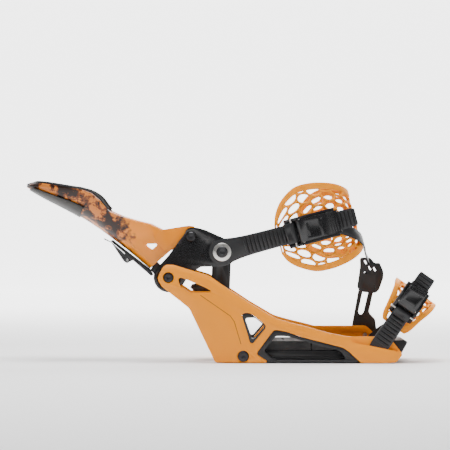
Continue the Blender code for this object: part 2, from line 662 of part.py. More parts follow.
HIGHBACK_ROWS = [  # height up the spine, height at the rim, spine depth, rim depth, half width
    (0.0, -12.0, 0.0, 42.0, 36.7), (21.0, 16.0, 2.5, 50.0, 36.9), (41.0, 40.0, 4.5, 43.0, 39.0),
    (62.0, 62.0, 6.0, 36.0, 43.0), (82.0, 83.0, 7.2, 32.5, 46.5), (101.0, 103.0, 7.2, 38.5, 49.0),
    (120.0, 121.0, 6.2, 37.5, 48.0), (140.0, 140.0, 4.3, 29.5, 44.5), (158.0, 157.0, 2.3, 22.0, 37.5),
    (173.0, 170.0, 1.2, 16.0, 28.5), (184.0, 179.0, 0.8, 11.0, 17.5), (188.6, 183.0, 0.8, 7.0, 7.0),
]


def highback_point(a, b, lift=0.0, inset_rows=(0.0, 1.0), narrow=1.0):
    """A point of the highback's middle surface, (depth, y, height), b from -1 to 1 across."""
    low, high = inset_rows
    spine, rim, back, front, width = spline_point(HIGHBACK_ROWS, low + (high - low) * a)
    width -= lift * (1.0 + max(a, 0.0) ** 2)
    swing = abs(b) * narrow * math.pi / 2
    rise = 1.0 - math.cos(swing)
    height = spine + (rim - spine) * rise
    depth = back + lift + (front - back - 0.3 * lift) * rise
    return (depth, math.copysign(width * math.sin(swing), b), height)


def spine_frame():
    """The highback's frame: depth along local X, height along local Z."""
    return turn_frame(SPINE_FOOT, -HIGHBACK_TILT)


def highback():
    frame = spine_frame()
    shell = sheet(
        "highback_shell", 14, 12, lambda a, b: highback_point(a, 2 * b - 1), HIGHBACK_THICK, AMBER, frame,
    )
    local_hinge = frame.inverted() @ (Vector((HIGHBACK_HINGE[0], 0, HIGHBACK_HINGE[1])) * MM) / MM
    x, z = local_hinge.x, local_hinge.z
    arm = rounded([
        (40.0, -17.0, 20), (x - 12, z - 11.5, 8), (x + 9, z - 13, 12), (x + 13, z + 6, 12), (x + 6.5, z + 14.0, 14),
        (50.0, 12.0, 10), (36.0, 20.0, 4), (28.0, -4.0, 4),
    ])
    for side in (-1, 1):
        ends = sorted((side * 34.9, side * 38.4))
        piece = slab(f"highback_arm_{side}", arm, *ends, cutter=True)
        piece.data.transform(frame)
        join(shell, piece)
        ends = sorted((side * 25.0, side * 60.0))
        cut(shell, bore(f"highback_hole_{side}", HIGHBACK_HINGE, 5.3, *ends))
        window = rounded([(-187.0, 149.4, 1.5), (-208.6, 149.0, 2), (-196.6, 141.0, 2)])
        cut(shell, slab(f"highback_window_{side}", window, *ends, cutter=True))
    shade(shell, 40)
    pad = sheet(
        "highback_pad", 8, 10,
        lambda a, b: highback_point(a, 2 * b - 1, lift=HIGHBACK_THICK / 2 + PAD_THICK / 2 + GAP, inset_rows=(0.41, 0.86)),
        PAD_THICK, SOFT_BLACK, frame,
    )
    panel = sheet(
        "highback_panel", 8, 6,
        lambda a, b: highback_point(a, 0.62 * (2 * b - 1), lift=-(HIGHBACK_THICK / 2 + 0.6 + GAP), inset_rows=(0.5, 0.9)),
        1.0, SMOKE, frame,
    )
    spine = slab(
        "spine_plate",
        [(-198.9, 116.6), (-247.0, 154.0), (-249.0, 152.6), (-197.4, 108.0), (-195.4, 109.4)][::-1], -14.0, 14.0, BLACK,
    )
    soften(spine, 0.5, angle=50)
    foot = slab(
        "lean_block", [(-198.3, 116.2), (-193.6, 110.2), (-189.6, 108.7), (-181.6, 118.0), (-190.6, 126.6), (-196.6, 119.6)],
        -12.0, 12.0, BLACK,
    )
    soften(foot, 0.6, angle=30)
    hinge = axis("highback_hinge_axis", (HIGHBACK_HINGE[0], 0, HIGHBACK_HINGE[1]))
    attach(hinge, shell, pad, panel, spine, foot, *release_lever())
    return hinge


LEVER_HINGE = (-227.9, 128.3)


def release_lever():
    """The thin lever on the highback's back, and the pin it swings on."""
    outline = rounded([
        (-257.6, 156.2, 0.8), (-249.8, 152.0, 4), (-241.5, 144.8), (-226.0, 131.0, 2), (-224.6, 127.0, 3),
        (-228.2, 123.6, 3), (-232.6, 127.0, 5), (-242.0, 141.0, 8), (-248.0, 150.4, 6), (-257.4, 154.4, 0.8),
    ])
    lever = slab("release_lever", outline, -9.0, 9.0, BLACK)
    cut(lever, bore("lever_hole", LEVER_HINGE, 1.9, -20, 20, 12))
    soften(lever, 0.6, angle=50)
    attach(axis("release_lever_axis", (LEVER_HINGE[0], 0, LEVER_HINGE[1])), lever)
    pin = turned(
        "release_pin", [(0.0, 23.0), (1.5, 23.0), (1.5, 0.0), (0.0, 0.0)],
        (LEVER_HINGE[0], -11.5, LEVER_HINGE[1]), (0, 1, 0), STEEL, steps=12,
    )
    for side in (-1, 1):
        ends = sorted((side * 9.6, side * 13.4))
        lug = rounded([(-226.0, 125.6, 2), (-231.4, 127.4, 2), (-230.6, 141.0), (-218.0, 130.0)])
        piece = slab(f"lever_lug_{side}", lug, *ends, cutter=True)
        cut(piece, bore(f"lug_hole_{side}", LEVER_HINGE, 1.8, -20, 20, 12))
        join(bpy.data.objects["spine_plate"], piece)
    return [shade(pin)]


# ---------------------------------------------------------------- ankle strap

ANKLE_LADDER = [
    (-16.4, -45.8, -3.0, 3.0), (-13.0, -45.8, -10.0, 10.0), (-6.0, -45.8, -15.2, 15.2), (4.0, -45.8, -16.2, 16.0),
    (20.0, -46.0, -13.8, 13.8), (40.0, -48.3, -12.6, 12.6), (62.0, -51.2, -12.2, 12.2), (84.0, -52.2, -12.0, 12.0),
    (120.0, -52.2, -12.0, 12.0), (155.0, -51.6, -12.0, 12.0), (170.0, -50.4, -11.6, 11.6), (174.0, -50.0, -9.5, 9.5),
]
ANKLE_PAD = [
    (72.0, -45.0, -22.0, 15.0), (77.0, -45.2, -33.0, 29.0), (89.0, -45.2, -44.0, 44.0), (108.0, -44.8, -54.0, 55.0),
    (128.0, -43.0, -56.0, 55.5), (147.0, -37.5, -54.0, 51.0), (161.0, -27.0, -50.0, 45.0), (170.0, -14.0, -45.0, 38.0),
    (173.0, 0.0, -41.0, 34.0), (170.0, 14.0, -44.0, 38.0), (160.0, 28.0, -47.0, 43.0), (145.0, 38.0, -47.0, 45.0),
    (125.0, 43.0, -42.0, 40.0), (106.0, 45.0, -26.0, 24.0),
]
ANKLE_BAND = [
    (132.0, -46.6, -9.0, 7.0), (147.0, -42.2, -15.0, 0.0), (163.0, -31.5, -25.0, -9.5), (173.8, -16.0, -35.0, -19.0),
    (177.2, 0.0, -43.0, -27.5), (176.8, 16.0, -50.0, -35.5), (177.6, 33.0, -57.0, -43.5), (179.0, 48.0, -63.0, -50.0),
    (180.5, 58.0, -66.0, -54.0), (180.8, 61.4, -72.0, -60.0),
]


def buckle(prefix, frame, middle, low_wall, spans, handle, tab, width):
    """A ratchet buckle: tray with side walls, lever on a pin, and the release tab.

    middle is the ladder's y, spans are the tray's ends, handle and tab are outlines in (u, y)."""
    start, end = spans
    wall = width / 2
    tray = block(prefix + "_buckle_tray", (start, middle + 1.9, -wall - 3.6), (end, middle + 3.6, wall + 3.6), frame=frame)
    side_outline = rounded([
        (start, middle + 3.6), (end, middle + 3.6, 1), (end, middle + 0.5, 2), (end - 14, middle - 3.0, 4),
        (handle["pin"][0] + 8, low_wall, 5), (handle["pin"][0] - 8, low_wall, 4), (tab["pin"][0] + 2, low_wall + 2.0, 3),
        (start + 3, middle - 2.0, 3), (start, middle + 1.0, 2),
    ])
    for side in (-1, 1):
        ends = sorted((side * (wall + 0.5), side * (wall + 3.6)))
        cheek = slab(f"{prefix}_cheek_{side}", side_outline, *ends, across="Z", cutter=True)
        cheek.data.transform(frame)
        for label, hole in (("lever", handle), ("tab", tab)):
            drilled = slab(f"{prefix}_{label}_eye_{side}", circle(hole["pin"], 1.7, 12), -30, 30, across="Z", cutter=True)
            drilled.data.transform(frame)
            cut(cheek, drilled)
        join(tray, cheek)
    pieces = [tray]
    for label, part in (("lever", handle), ("release", tab)):
        body = slab(f"{prefix}_buckle_{label}", rounded(part["outline"]), -wall + part["side_gap"], wall - part["side_gap"], BLACK, across="Z")
        soften(body, 0.8, angle=50)
        for k, (u0, u1, half, depth) in enumerate(part["pockets"]):
            top = part["top"]
            cut(body, block(f"{prefix}_{label}_pocket_{k}", (u0, top - 6.0, -half), (u1, top + depth, half), cutter=True))
        cut(body, slab(f"{prefix}_{label}_bore", circle(part["pin"], 1.8, 12), -30, 30, across="Z", cutter=True))
        for modifier in body.modifiers[1:]:
            modifier.object.data.transform(frame)
        body.data.transform(frame)
        place = frame @ (Vector((part["pin"][0], part["pin"][1], 0)) * MM) / MM
        attach(axis(f"{prefix}_{label}_axis", place), body)
        pieces.append(bpy.data.objects[f"{prefix}_{label}_axis"])
        ends = frame @ (Vector((part["pin"][0], part["pin"][1], -wall - 3.2)) * MM) / MM
        aim = frame.to_3x3() @ Vector((0, 0, 1))
        pin = turned(
            f"{prefix}_{label}_pin", [(0.0, 2 * wall + 6.4), (1.4, 2 * wall + 6.4), (1.4, 0.0), (0.0, 0.0)], ends, aim, STEEL, steps=12,
        )
        pieces.append(shade(pin))
    return pieces


def ankle_strap():
    frame = turn_frame(STRAP_HINGE, -ANKLE_SLOPE)
    ladder = ribbon("ankle_ladder", ANKLE_LADDER, 22, 2.8, BLACK, frame)
    cut(ladder, bore("ladder_hole", STRAP_HINGE, 5.3, -60, -40))
    pad = ribbon("ankle_pad", ANKLE_PAD, 18, 4.0, ORANGE, frame, across=4)
    band = ribbon("ankle_band", ANKLE_BAND, 16, 1.6, BLACK, frame)
    connector = slab("ankle_connector", rounded([
        (71.7, 130.6, 3), (72.3, 120.0, 30), (70.1, 104.0, 20), (68.3, 93.0, 5), (70.5, 88.0, 3), (76.6, 85.6, 3),
        (92.2, 84.2, 5), (96.8, 88.6, 5), (102.2, 104.0, 8), (102.6, 112.0, 8), (99.6, 119.0, 4), (97.5, 123.6, 2),
        (91.0, 123.6, 3), (84.7, 130.6, 3),
    ]), 62.9, 66.4, BLACK)
    cut(connector, slab("connector_pocket", rounded([
        (76.0, 99.0, 4), (91.0, 97.0, 4), (93.0, 84.0), (92.0, 80.0), (78.0, 80.0),
    ]), 60.0, 64.6, cutter=True))
    soften(connector, 0.7, angle=40)
    pins = {"outline": [
        (98.6, -55.6, 3), (97.6, -61.0, 4), (101.5, -64.6, 4), (120.0, -67.4, 14), (138.0, -65.6, 10), (151.0, -60.6, 2),
        (152.6, -57.6, 1.5), (140.0, -58.6, 8), (116.0, -57.0, 8), (106.0, -54.9, 4),
    ], "pin": (103.2, -59.8), "side_gap": 0.3, "top": -67.0, "pockets": [(113.0, 126.0, 8.5, 3.0)]}
    tab = {"outline": [
        (82.0, -57.2, 2), (83.0, -60.4, 2), (93.0, -61.9, 2), (96.4, -60.2, 2), (96.0, -56.0, 2), (92.0, -54.6, 2),
    ], "pin": (92.8, -58.0), "side_gap": 1.6, "top": -61.0, "pockets": [(84.5, 90.0, 5.0, 1.2)]}
    parts = buckle("ankle", frame, -52.2, -62.6, (84.0, 149.0), pins, tab, 29.0)
    hinge = axis("ankle_strap_axis", (STRAP_HINGE[0], 0, STRAP_HINGE[1]))
    attach(hinge, ladder, pad, band, connector, *parts)
    return hinge


def ankle_hanger():
    outline = rounded([
        (61.6, 41.0, 20), (60.4, 29.0, 8), (64.5, 20.5, 6), (90.0, 20.5, 6), (94.0, 34.0, 6), (92.0, 50.0, 6),
        (85.6, 56.9, 2.5), (83.8, 60.0, 2), (89.2, 84.0, 40), (93.6, 104.0, 4), (92.0, 112.6, 4), (78.0, 112.6, 5),
        (70.2, 88.0, 40),
    ])
    slot = rounded([
        (69.8, 59.4, 3), (73.0, 55.0, 3), (76.9, 59.4, 3), (82.6, 84.0, 30), (86.4, 103.0, 2.5), (80.2, 103.0, 2.5), (75.6, 86.0, 30),
    ])
    hanger = slab("ankle_hanger", outline, 68.6, 71.4, BLACK, holes=[slot])
    cut(hanger, bore("hanger_hole", HANGER_HINGE, 3.4, 60, 80))
    shade(hanger)
    attach(axis("hanger_axis", (HANGER_HINGE[0], 70.0, HANGER_HINGE[1])), hanger)
    bolt("hanger_bolt", HANGER_HINGE, 1, (6.4, 71.8, 74.8), (3.0, 59.0), STEEL)


# ---------------------------------------------------------------- toe strap

TOE_LADDER = [
    (-9.6, -61.6, -3.0, 3.0), (-7.6, -61.6, -6.2, 6.2), (-3.0, -61.6, -9.2, 9.2), (5.0, -61.6, -10.8, 10.8),
    (14.0, -61.6, -11.5, 11.5),
    (28.0, -61.2, -11.5, 11.5), (42.0, -59.2, -11.3, 11.3), (56.0, -57.6, -11.0, 11.0), (75.0, -57.4, -11.0, 11.0),
    (98.0, -57.3, -11.0, 11.0), (112.0, -56.8, -11.0, 11.0), (116.0, -56.5, -10.0, 10.0),
]
TOE_PAD = [
    (40.0, -49.2, -13.0, 15.0), (47.0, -49.4, -18.0, 19.5), (60.0, -48.6, -24.0, 22.0), (74.0, -44.0, -29.0, 24.5),
    (85.0, -34.0, -32.0, 26.5), (90.6, -18.0, -33.0, 27.0), (92.0, 0.0, -33.0, 27.0), (90.6, 18.0, -34.0, 25.0),
    (85.0, 33.0, -35.0, 21.0), (74.0, 42.0, -35.0, 15.0), (60.0, 46.0, -33.0, 7.0), (47.0, 46.8, -30.0, -2.0),
    (40.0, 47.0, -26.0, -8.0),
]
TOE_BAND = [
    (-9.6, 54.2, -3.0, 3.0), (-7.6, 54.2, -6.2, 6.2), (-3.0, 54.2, -9.2, 9.2), (5.0, 54.2, -10.6, 10.4),
    (14.0, 54.2, -11.5, 9.5), (28.0, 53.6, -14.0, 6.0),
    (42.0, 51.8, -19.0, 0.0), (56.0, 50.8, -23.0, -5.0), (70.0, 47.6, -24.0, -6.0), (76.0, 45.4, -23.0, -7.0),
]


def toe_strap():
    frame = turn_frame(TOE_HINGE, -TOE_SLOPE)
    ladder = ribbon("toe_ladder", TOE_LADDER, 18, 2.6, BLACK, frame)
    cut(ladder, bore("toe_ladder_hole", TOE_HINGE, 3.3, -70, -50))
    pad = ribbon("toe_pad", TOE_PAD, 18, 3.4, ORANGE, frame, across=4)
    band = ribbon("toe_band", TOE_BAND, 14, 1.8, BLACK, frame)
    cut(band, bore("toe_band_hole", TOE_HINGE, 3.3, 50, 60))
    handle = {"outline": [
        (66.2, -59.9, 3), (65.6, -64.6, 4), (69.0, -67.2, 4), (82.0, -69.4, 10), (93.0, -67.4, 8), (101.0, -61.4, 2),
        (100.4, -58.8, 1.5), (92.0, -60.6, 5), (80.0, -60.6, 6), (73.4, -59.4, 3),
    ], "pin": (70.4, -63.8), "side_gap": 0.3, "top": -69.0, "pockets": [(78.0, 89.0, 7.0, 2.6)]}
    tab = {"outline": [
        (52.4, -61.4, 2), (53.4, -64.4, 2), (61.0, -65.6, 2), (64.2, -63.8, 2), (63.8, -60.4, 2), (60.0, -59.4, 2),
    ], "pin": (60.8, -62.4), "side_gap": 1.4, "top": -64.8, "pockets": [(54.6, 58.6, 4.2, 1.0)]}
    parts = buckle("toe", frame, -57.3, -66.4, (53.7, 97.4), handle, tab, 25.2)
    hinge = axis("toe_strap_axis", (TOE_HINGE[0], 0, TOE_HINGE[1]))
    attach(hinge, ladder, pad, band, *parts)
    spread = RAIL_FLARE * (TOE_HINGE[0] - YOKE_HINGE[0])
    inner = RAIL_INNER + spread
    for name, side, low in (("outer", -1, inner + 7.8), ("inner", 1, inner + 6.4)):
        length = low - (TOE_CLEAR + 0.6)
        profile = [
            (0.0, length), (2.6, length), (2.9, length - 0.4), (2.9, 1.6), (4.4, 1.6), (4.4, 0.4), (4.0, 0.0), (0.0, 0.0),
        ]
        place = (TOE_HINGE[0], side * (TOE_CLEAR + 0.6), TOE_HINGE[1])
        if side > 0:
            profile = [(r, h if h > 1.7 else h * 0.4) for r, h in profile]
        shade(turned("toe_bolt_" + name, profile, place, (0, side, 0), STEEL, steps=16))


# ---------------------------------------------------------------- assembly

clear_scene()
PARTS = collection("step_in_binding")
CUTTERS = collection("cutters")

for label, sign in (("outer", -1), ("inner", 1)):
    side_rail("side_rail_" + label, sign)
    rail_fittings(label, sign)
base_tray()
footbed()
toe_ramp()
mounting_disc()
gasket()
yoke_axis = axis("yoke_hinge_axis", (YOKE_HINGE[0], 0, YOKE_HINGE[1]))
attach(yoke_axis, heel_yoke(), *yoke_hardware())
pedal()
attach(yoke_axis, bpy.data.objects["pedal_hinge_axis"], highback(), ankle_strap())
ankle_hanger()
toe_strap()
for thing in PARTS.objects:
    if thing.type == "MESH" and not thing.modifiers:
        shade(thing)
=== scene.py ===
"""Rear-entry snowboard binding, open: fine surfaces, lattice pads and finishes around its solid model."""

import json
import math

import bpy
from bpy.props import FloatProperty, FloatVectorProperty, IntProperty, PointerProperty
from mathutils import Matrix, Vector


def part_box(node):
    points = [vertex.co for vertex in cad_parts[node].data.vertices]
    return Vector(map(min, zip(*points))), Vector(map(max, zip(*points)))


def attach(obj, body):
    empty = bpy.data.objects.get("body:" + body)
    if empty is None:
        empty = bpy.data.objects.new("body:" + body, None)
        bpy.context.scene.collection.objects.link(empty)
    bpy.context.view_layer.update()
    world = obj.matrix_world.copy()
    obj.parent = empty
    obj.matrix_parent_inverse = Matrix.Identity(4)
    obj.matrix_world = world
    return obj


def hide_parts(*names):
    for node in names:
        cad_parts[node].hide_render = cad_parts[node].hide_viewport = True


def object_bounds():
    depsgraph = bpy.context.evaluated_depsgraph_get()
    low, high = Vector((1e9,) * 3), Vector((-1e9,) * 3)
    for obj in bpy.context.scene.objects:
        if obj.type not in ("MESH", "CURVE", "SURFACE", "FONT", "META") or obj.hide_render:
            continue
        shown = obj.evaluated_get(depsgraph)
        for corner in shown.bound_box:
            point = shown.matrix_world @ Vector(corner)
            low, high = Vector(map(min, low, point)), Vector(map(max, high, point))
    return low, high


bl_info = {
    "name": "Step-in snowboard binding",
    "version": (1, 0, 0),
    "blender": (4, 5, 0),
    "location": "View3D > Sidebar > Binding",
    "description": "Builds the binding's fine surfaces, lattice pads and finishes",
    "category": "Object",
}

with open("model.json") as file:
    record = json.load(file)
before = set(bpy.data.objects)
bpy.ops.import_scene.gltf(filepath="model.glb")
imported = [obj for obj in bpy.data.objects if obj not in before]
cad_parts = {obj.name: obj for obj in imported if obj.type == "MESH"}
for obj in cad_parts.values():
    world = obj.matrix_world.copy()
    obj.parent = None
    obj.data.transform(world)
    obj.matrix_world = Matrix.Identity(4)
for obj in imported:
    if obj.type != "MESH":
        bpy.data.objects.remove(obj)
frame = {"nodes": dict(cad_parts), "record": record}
SOLID_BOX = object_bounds()

MM = 0.001  # one millimetre, in metres

# Hinges as (x, z) in millimetres, and slopes in degrees. Each strap and the highback has a flat frame
# of its own at its hinge, turned about Y by its slope.
STRAP_HINGE, ANKLE_SLOPE = (-107.5, 138.9), 15.0
TOE_HINGE, TOE_SLOPE = (83.5, 14.0), 55.0
SPINE_FOOT, HIGHBACK_TILT = (-198.5, 118.7), 56.8

# Stations of the soft parts in their own frames: (along, outwards, low edge, high edge).
ANKLE_PAD = [
    (72.0, -45.0, -22.0, 15.0), (77.0, -45.2, -33.0, 29.0), (89.0, -45.2, -44.0, 44.0),
    (108.0, -44.8, -54.0, 55.0), (128.0, -43.0, -56.0, 55.5), (147.0, -37.5, -54.0, 51.0),
    (161.0, -27.0, -50.0, 45.0), (170.0, -14.0, -45.0, 38.0), (173.0, 0.0, -41.0, 34.0),
    (170.0, 14.0, -44.0, 38.0), (160.0, 28.0, -47.0, 43.0), (145.0, 38.0, -47.0, 45.0),
    (125.0, 43.0, -42.0, 40.0), (106.0, 45.0, -26.0, 24.0),
]
TOE_PAD = [
    (40.0, -49.2, -13.0, 15.0), (47.0, -49.4, -18.0, 19.5), (60.0, -48.6, -24.0, 22.0),
    (74.0, -44.0, -29.0, 24.5), (85.0, -34.0, -32.0, 26.5), (90.6, -18.0, -33.0, 27.0),
    (92.0, 0.0, -33.0, 27.0), (90.6, 18.0, -34.0, 25.0), (85.0, 33.0, -35.0, 21.0),
    (74.0, 42.0, -35.0, 15.0), (60.0, 46.0, -33.0, 7.0), (47.0, 46.8, -30.0, -2.0),
    (40.0, 47.0, -26.0, -8.0),
]
ANKLE_LADDER = [
    (-16.4, -45.8, -3.0, 3.0), (-13.0, -45.8, -10.0, 10.0), (-6.0, -45.8, -15.2, 15.2),
    (4.0, -45.8, -16.2, 16.0), (20.0, -46.0, -13.8, 13.8), (40.0, -48.3, -12.6, 12.6),
    (62.0, -51.2, -12.2, 12.2), (84.0, -52.2, -12.0, 12.0), (120.0, -52.2, -12.0, 12.0),
    (155.0, -51.6, -12.0, 12.0), (170.0, -50.4, -11.6, 11.6), (174.0, -50.0, -9.5, 9.5),
]
TOE_LADDER = [
    (-9.6, -61.6, -3.0, 3.0), (-7.6, -61.6, -6.2, 6.2), (-3.0, -61.6, -9.2, 9.2),
    (5.0, -61.6, -10.8, 10.8), (14.0, -61.6, -11.5, 11.5), (28.0, -61.2, -11.5, 11.5),
    (42.0, -59.2, -11.3, 11.3), (56.0, -57.6, -11.0, 11.0), (75.0, -57.4, -11.0, 11.0),
    (98.0, -57.3, -11.0, 11.0), (112.0, -56.8, -11.0, 11.0), (116.0, -56.5, -10.0, 10.0),
]
HIGHBACK_ROWS = [  # height up the spine, height at the rim, spine depth, rim depth, half width
    (0.0, -12.0, 0.0, 42.0, 36.7), (21.0, 16.0, 2.5, 50.0, 36.9), (41.0, 40.0, 4.5, 43.0, 39.0),
    (62.0, 62.0, 6.0, 36.0, 43.0), (82.0, 83.0, 7.2, 32.5, 46.5), (101.0, 103.0, 7.2, 38.5, 49.0),
    (120.0, 121.0, 6.2, 37.5, 48.0), (140.0, 140.0, 4.3, 29.5, 44.5), (158.0, 157.0, 2.3, 22.0, 37.5),
    (173.0, 170.0, 1.2, 16.0, 28.5), (184.0, 179.0, 0.8, 11.0, 17.5), (188.6, 183.0, 0.8, 7.0, 7.0),
]
SHELL_WALL, WALL_GAP = 3.2, 0.35  # the highback's wall, and the gap between it and the foam

# Corners of the thin line on the rails' outer faces, (x, z).
RAIL_LINE = ((-134.1, 84.9), (-97.0, 59.1), (-92.2, 52.2), (-83.9, 24.5))


# ---------------------------------------------------------------- sizes and colours a user would change

class BindingColours(bpy.types.PropertyGroup):
    """Colours of the binding's finishes."""

    rail: FloatVectorProperty(
        name="Rails", description="Moulded side rails", subtype="COLOR", size=3,
        default=(0.86, 0.275, 0.0),
    )
    lattice: FloatVectorProperty(
        name="Lattice", description="Soft lattice of the strap pads", subtype="COLOR", size=3,
        default=(0.90, 0.295, 0.0),
    )
    amber: FloatVectorProperty(
        name="Highback", description="Clear amber of the highback", subtype="COLOR", size=3,
        default=(0.78, 0.235, 0.002),
    )
    black: FloatVectorProperty(
        name="Black parts", description="Moulded black plastic", subtype="COLOR", size=3,
        default=(0.0075, 0.0075, 0.0085),
    )


class BindingSizes(bpy.types.PropertyGroup):
    """Sizes of the fine detail."""

    edge: FloatProperty(
        name="Edge rounding", description="Rounding on moulded edges",
        unit="LENGTH", default=0.0005, min=0.0,
    )
    cell: FloatProperty(
        name="Lattice cell", description="Width of one cell of the strap pads",
        unit="LENGTH", default=0.0190, min=0.004,
    )
    strut: FloatProperty(
        name="Lattice strut", description="Thickness of the struts",
        unit="LENGTH", default=0.0040, min=0.0005,
    )
    rim: FloatProperty(
        name="Pad rim", description="Width of the solid rim round a strap pad",
        unit="LENGTH", default=0.0085, min=0.001,
    )
    tooth_pitch: FloatProperty(
        name="Tooth pitch", description="Distance between a ladder strap's teeth",
        unit="LENGTH", default=0.0050,
    )
    foam_channels: IntProperty(
        name="Foam channels", description="Grooves pressed into the highback's foam", default=5, min=1,
    )


# ---------------------------------------------------------------- shader maths

class Signal:
    """A shader socket that adds, subtracts and multiplies as a number does."""

    def __init__(self, recipe, socket):
        self.recipe = recipe
        self.socket = socket

    def maths(self, operation, first, second):
        return self.recipe.node("ShaderNodeMath", {"operation": operation}, {0: first, 1: second})

    def __add__(self, other):
        return self.maths("ADD", self, other)

    def __radd__(self, other):
        return self.maths("ADD", other, self)

    def __sub__(self, other):
        return self.maths("SUBTRACT", self, other)

    def __rsub__(self, other):
        return self.maths("SUBTRACT", other, self)

    def __mul__(self, other):
        return self.maths("MULTIPLY", self, other)

    def __rmul__(self, other):
        return self.maths("MULTIPLY", other, self)

    def __abs__(self):
        return self.maths("ABSOLUTE", self, 0.0)

    def larger(self, other):
        return self.maths("MAXIMUM", self, other)

    def smaller(self, other):
        return self.maths("MINIMUM", self, other)

    def between(self, low, high):
        """0 at low, 1 at high, smooth in between."""
        inputs = {"Value": self, "From Min": low, "From Max": high}
        return self.recipe.node("ShaderNodeMapRange", {"interpolation_type": "SMOOTHSTEP"}, inputs)


class Recipe:
    """One finish: a Principled shader and the nodes that vary it."""

    def __init__(self, name):
        self.material = bpy.data.materials.new(name)
        self.material.use_nodes = True
        self.tree = self.material.node_tree
        self.shader = self.tree.nodes["Principled BSDF"]
        self.place = self.node("ShaderNodeTexCoord", {}, {}, "Object")

    def node(self, kind, settings, inputs, output=0):
        """Adds a node, sets its settings, fills or links its inputs, and gives one of its outputs."""
        made = self.tree.nodes.new(kind)
        for key, value in settings.items():
            setattr(made, key, value)
        for key, value in inputs.items():
            if isinstance(value, Signal):
                self.tree.links.new(value.socket, made.inputs[key])
            else:
                made.inputs[key].default_value = value
        return Signal(self, made.outputs[output])

    def stretched(self, scale):
        return self.node("ShaderNodeMapping", {}, {"Vector": self.place, "Scale": scale})

    def noise(self, scale, detail=2.0, roughness=0.5, warp=0.0, vector=None):
        inputs = {
            "Vector": vector or self.place, "Scale": scale, "Detail": detail, "Roughness": roughness,
            "Distortion": warp,
        }
        return self.node("ShaderNodeTexNoise", {}, inputs)

    def cells(self, scale):
        inputs = {"Vector": self.place, "Scale": scale}
        return self.node("ShaderNodeTexVoronoi", {"feature": "F1"}, inputs, "Distance")

    def mix(self, amount, first, second):
        """Mixes two colours."""
        first, second = (c if isinstance(c, Signal) else (*c, 1.0) for c in (first, second))
        return self.node("ShaderNodeMix", {"data_type": "RGBA"}, {0: amount, 6: first, 7: second}, 2)

    def axes(self):
        """The three Object coordinates."""
        split = self.node("ShaderNodeSeparateXYZ", {}, {0: self.place})
        return [Signal(self, output) for output in split.socket.node.outputs]

    def bump(self, height, strength, distance):
        inputs = {"Height": height, "Strength": strength, "Distance": distance}
        return self.node("ShaderNodeBump", {}, inputs, "Normal")

    def finish(self, **sockets):
        for name, value in sockets.items():
            socket = self.shader.inputs[name.replace("_", " ")]
            if isinstance(value, Signal):
                self.tree.links.new(value.socket, socket)
            else:
                socket.default_value = (*value, 1.0) if socket.type == "RGBA" else value
        return self.material


def tint(colour, factor):
    return tuple(min(1.0, c * factor) for c in colour)


def moulded(name, colour, grain, rough, lacquer=0.0):
    """Moulded plastic: a fine spark-eroded grain, slight flow marks, handling scuffs."""
    recipe = Recipe(name)
    flow = recipe.noise(9.0, 4.0, 0.6, 0.4)
    fine = recipe.noise(1900.0, 3.0, 0.65)
    pits = recipe.cells(1300.0)
    scuff = recipe.noise(260.0, 5.0, 0.7, vector=recipe.stretched((1.0, 1.0, 0.12)))
    scuffed = scuff.between(0.60, 0.74)
    mark = recipe.noise(34.0, 3.0, 0.5).between(0.56, 0.70) * scuffed
    shade = recipe.mix(flow.between(0.30, 0.72), tint(colour, 0.93), tint(colour, 1.05))
    worn = recipe.mix(mark * 0.22, shade, tuple(0.6 * c + 0.22 for c in colour))
    roughness = flow * 0.10 + fine * 0.10 + mark * 0.12 + (rough - 0.10)
    height = fine * 0.6 + pits * 0.5 - mark * 0.25
    return recipe.finish(
        Base_Color=worn, Roughness=roughness, Normal=recipe.bump(height, 0.22 * grain, 0.00012),
        Coat_Weight=lacquer,
    )


def rail_orange(name, colour):
    """The rails' orange, with the thin dark line that runs from the heel block down to the sill."""
    recipe = Recipe(name)
    x, y, z = recipe.axes()
    flow = recipe.noise(8.0, 4.0, 0.6, 0.4)
    fine = recipe.noise(1800.0, 3.0, 0.65)
    pits = recipe.cells(1200.0)
    scuff = recipe.noise(240.0, 5.0, 0.7, vector=recipe.stretched((0.14, 1.0, 1.0)))
    mark = recipe.noise(30.0, 3.0, 0.5).between(0.55, 0.70) * scuff.between(0.60, 0.74)
    nearest = None
    corners = [in_mm(*corner) for corner in RAIL_LINE]
    for (x0, z0), (x1, z1) in zip(corners, corners[1:]):
        length = math.hypot(x1 - x0, z1 - z0)
        ux, uz = (x1 - x0) / length, (z1 - z0) / length
        along = (x - x0) * ux + (z - z0) * uz
        beyond = abs(along - length / 2) - length / 2
        aside = abs((x - x0) * uz - (z - z0) * ux)
        far = aside.larger(beyond)
        nearest = far if nearest is None else nearest.smaller(far)
    stripe = 1.0 - nearest.between(0.3 * MM, 0.5 * MM)
    outer_face = abs(y).between(52.0 * MM, 53.5 * MM)
    shade = recipe.mix(flow.between(0.30, 0.72), tint(colour, 0.94), tint(colour, 1.05))
    worn = recipe.mix(mark * 0.20, shade, tuple(0.6 * c + 0.25 for c in colour))
    lined = recipe.mix(stripe * outer_face * 0.95, worn, (0.05, 0.025, 0.01))
    height = fine * 0.6 + pits * 0.5 - mark * 0.3
    return recipe.finish(
        Base_Color=lined, Roughness=flow * 0.12 + fine * 0.10 + mark * 0.10 + 0.30,
        Normal=recipe.bump(height, 0.20, 0.00012), Specular_IOR_Level=0.28,
    )


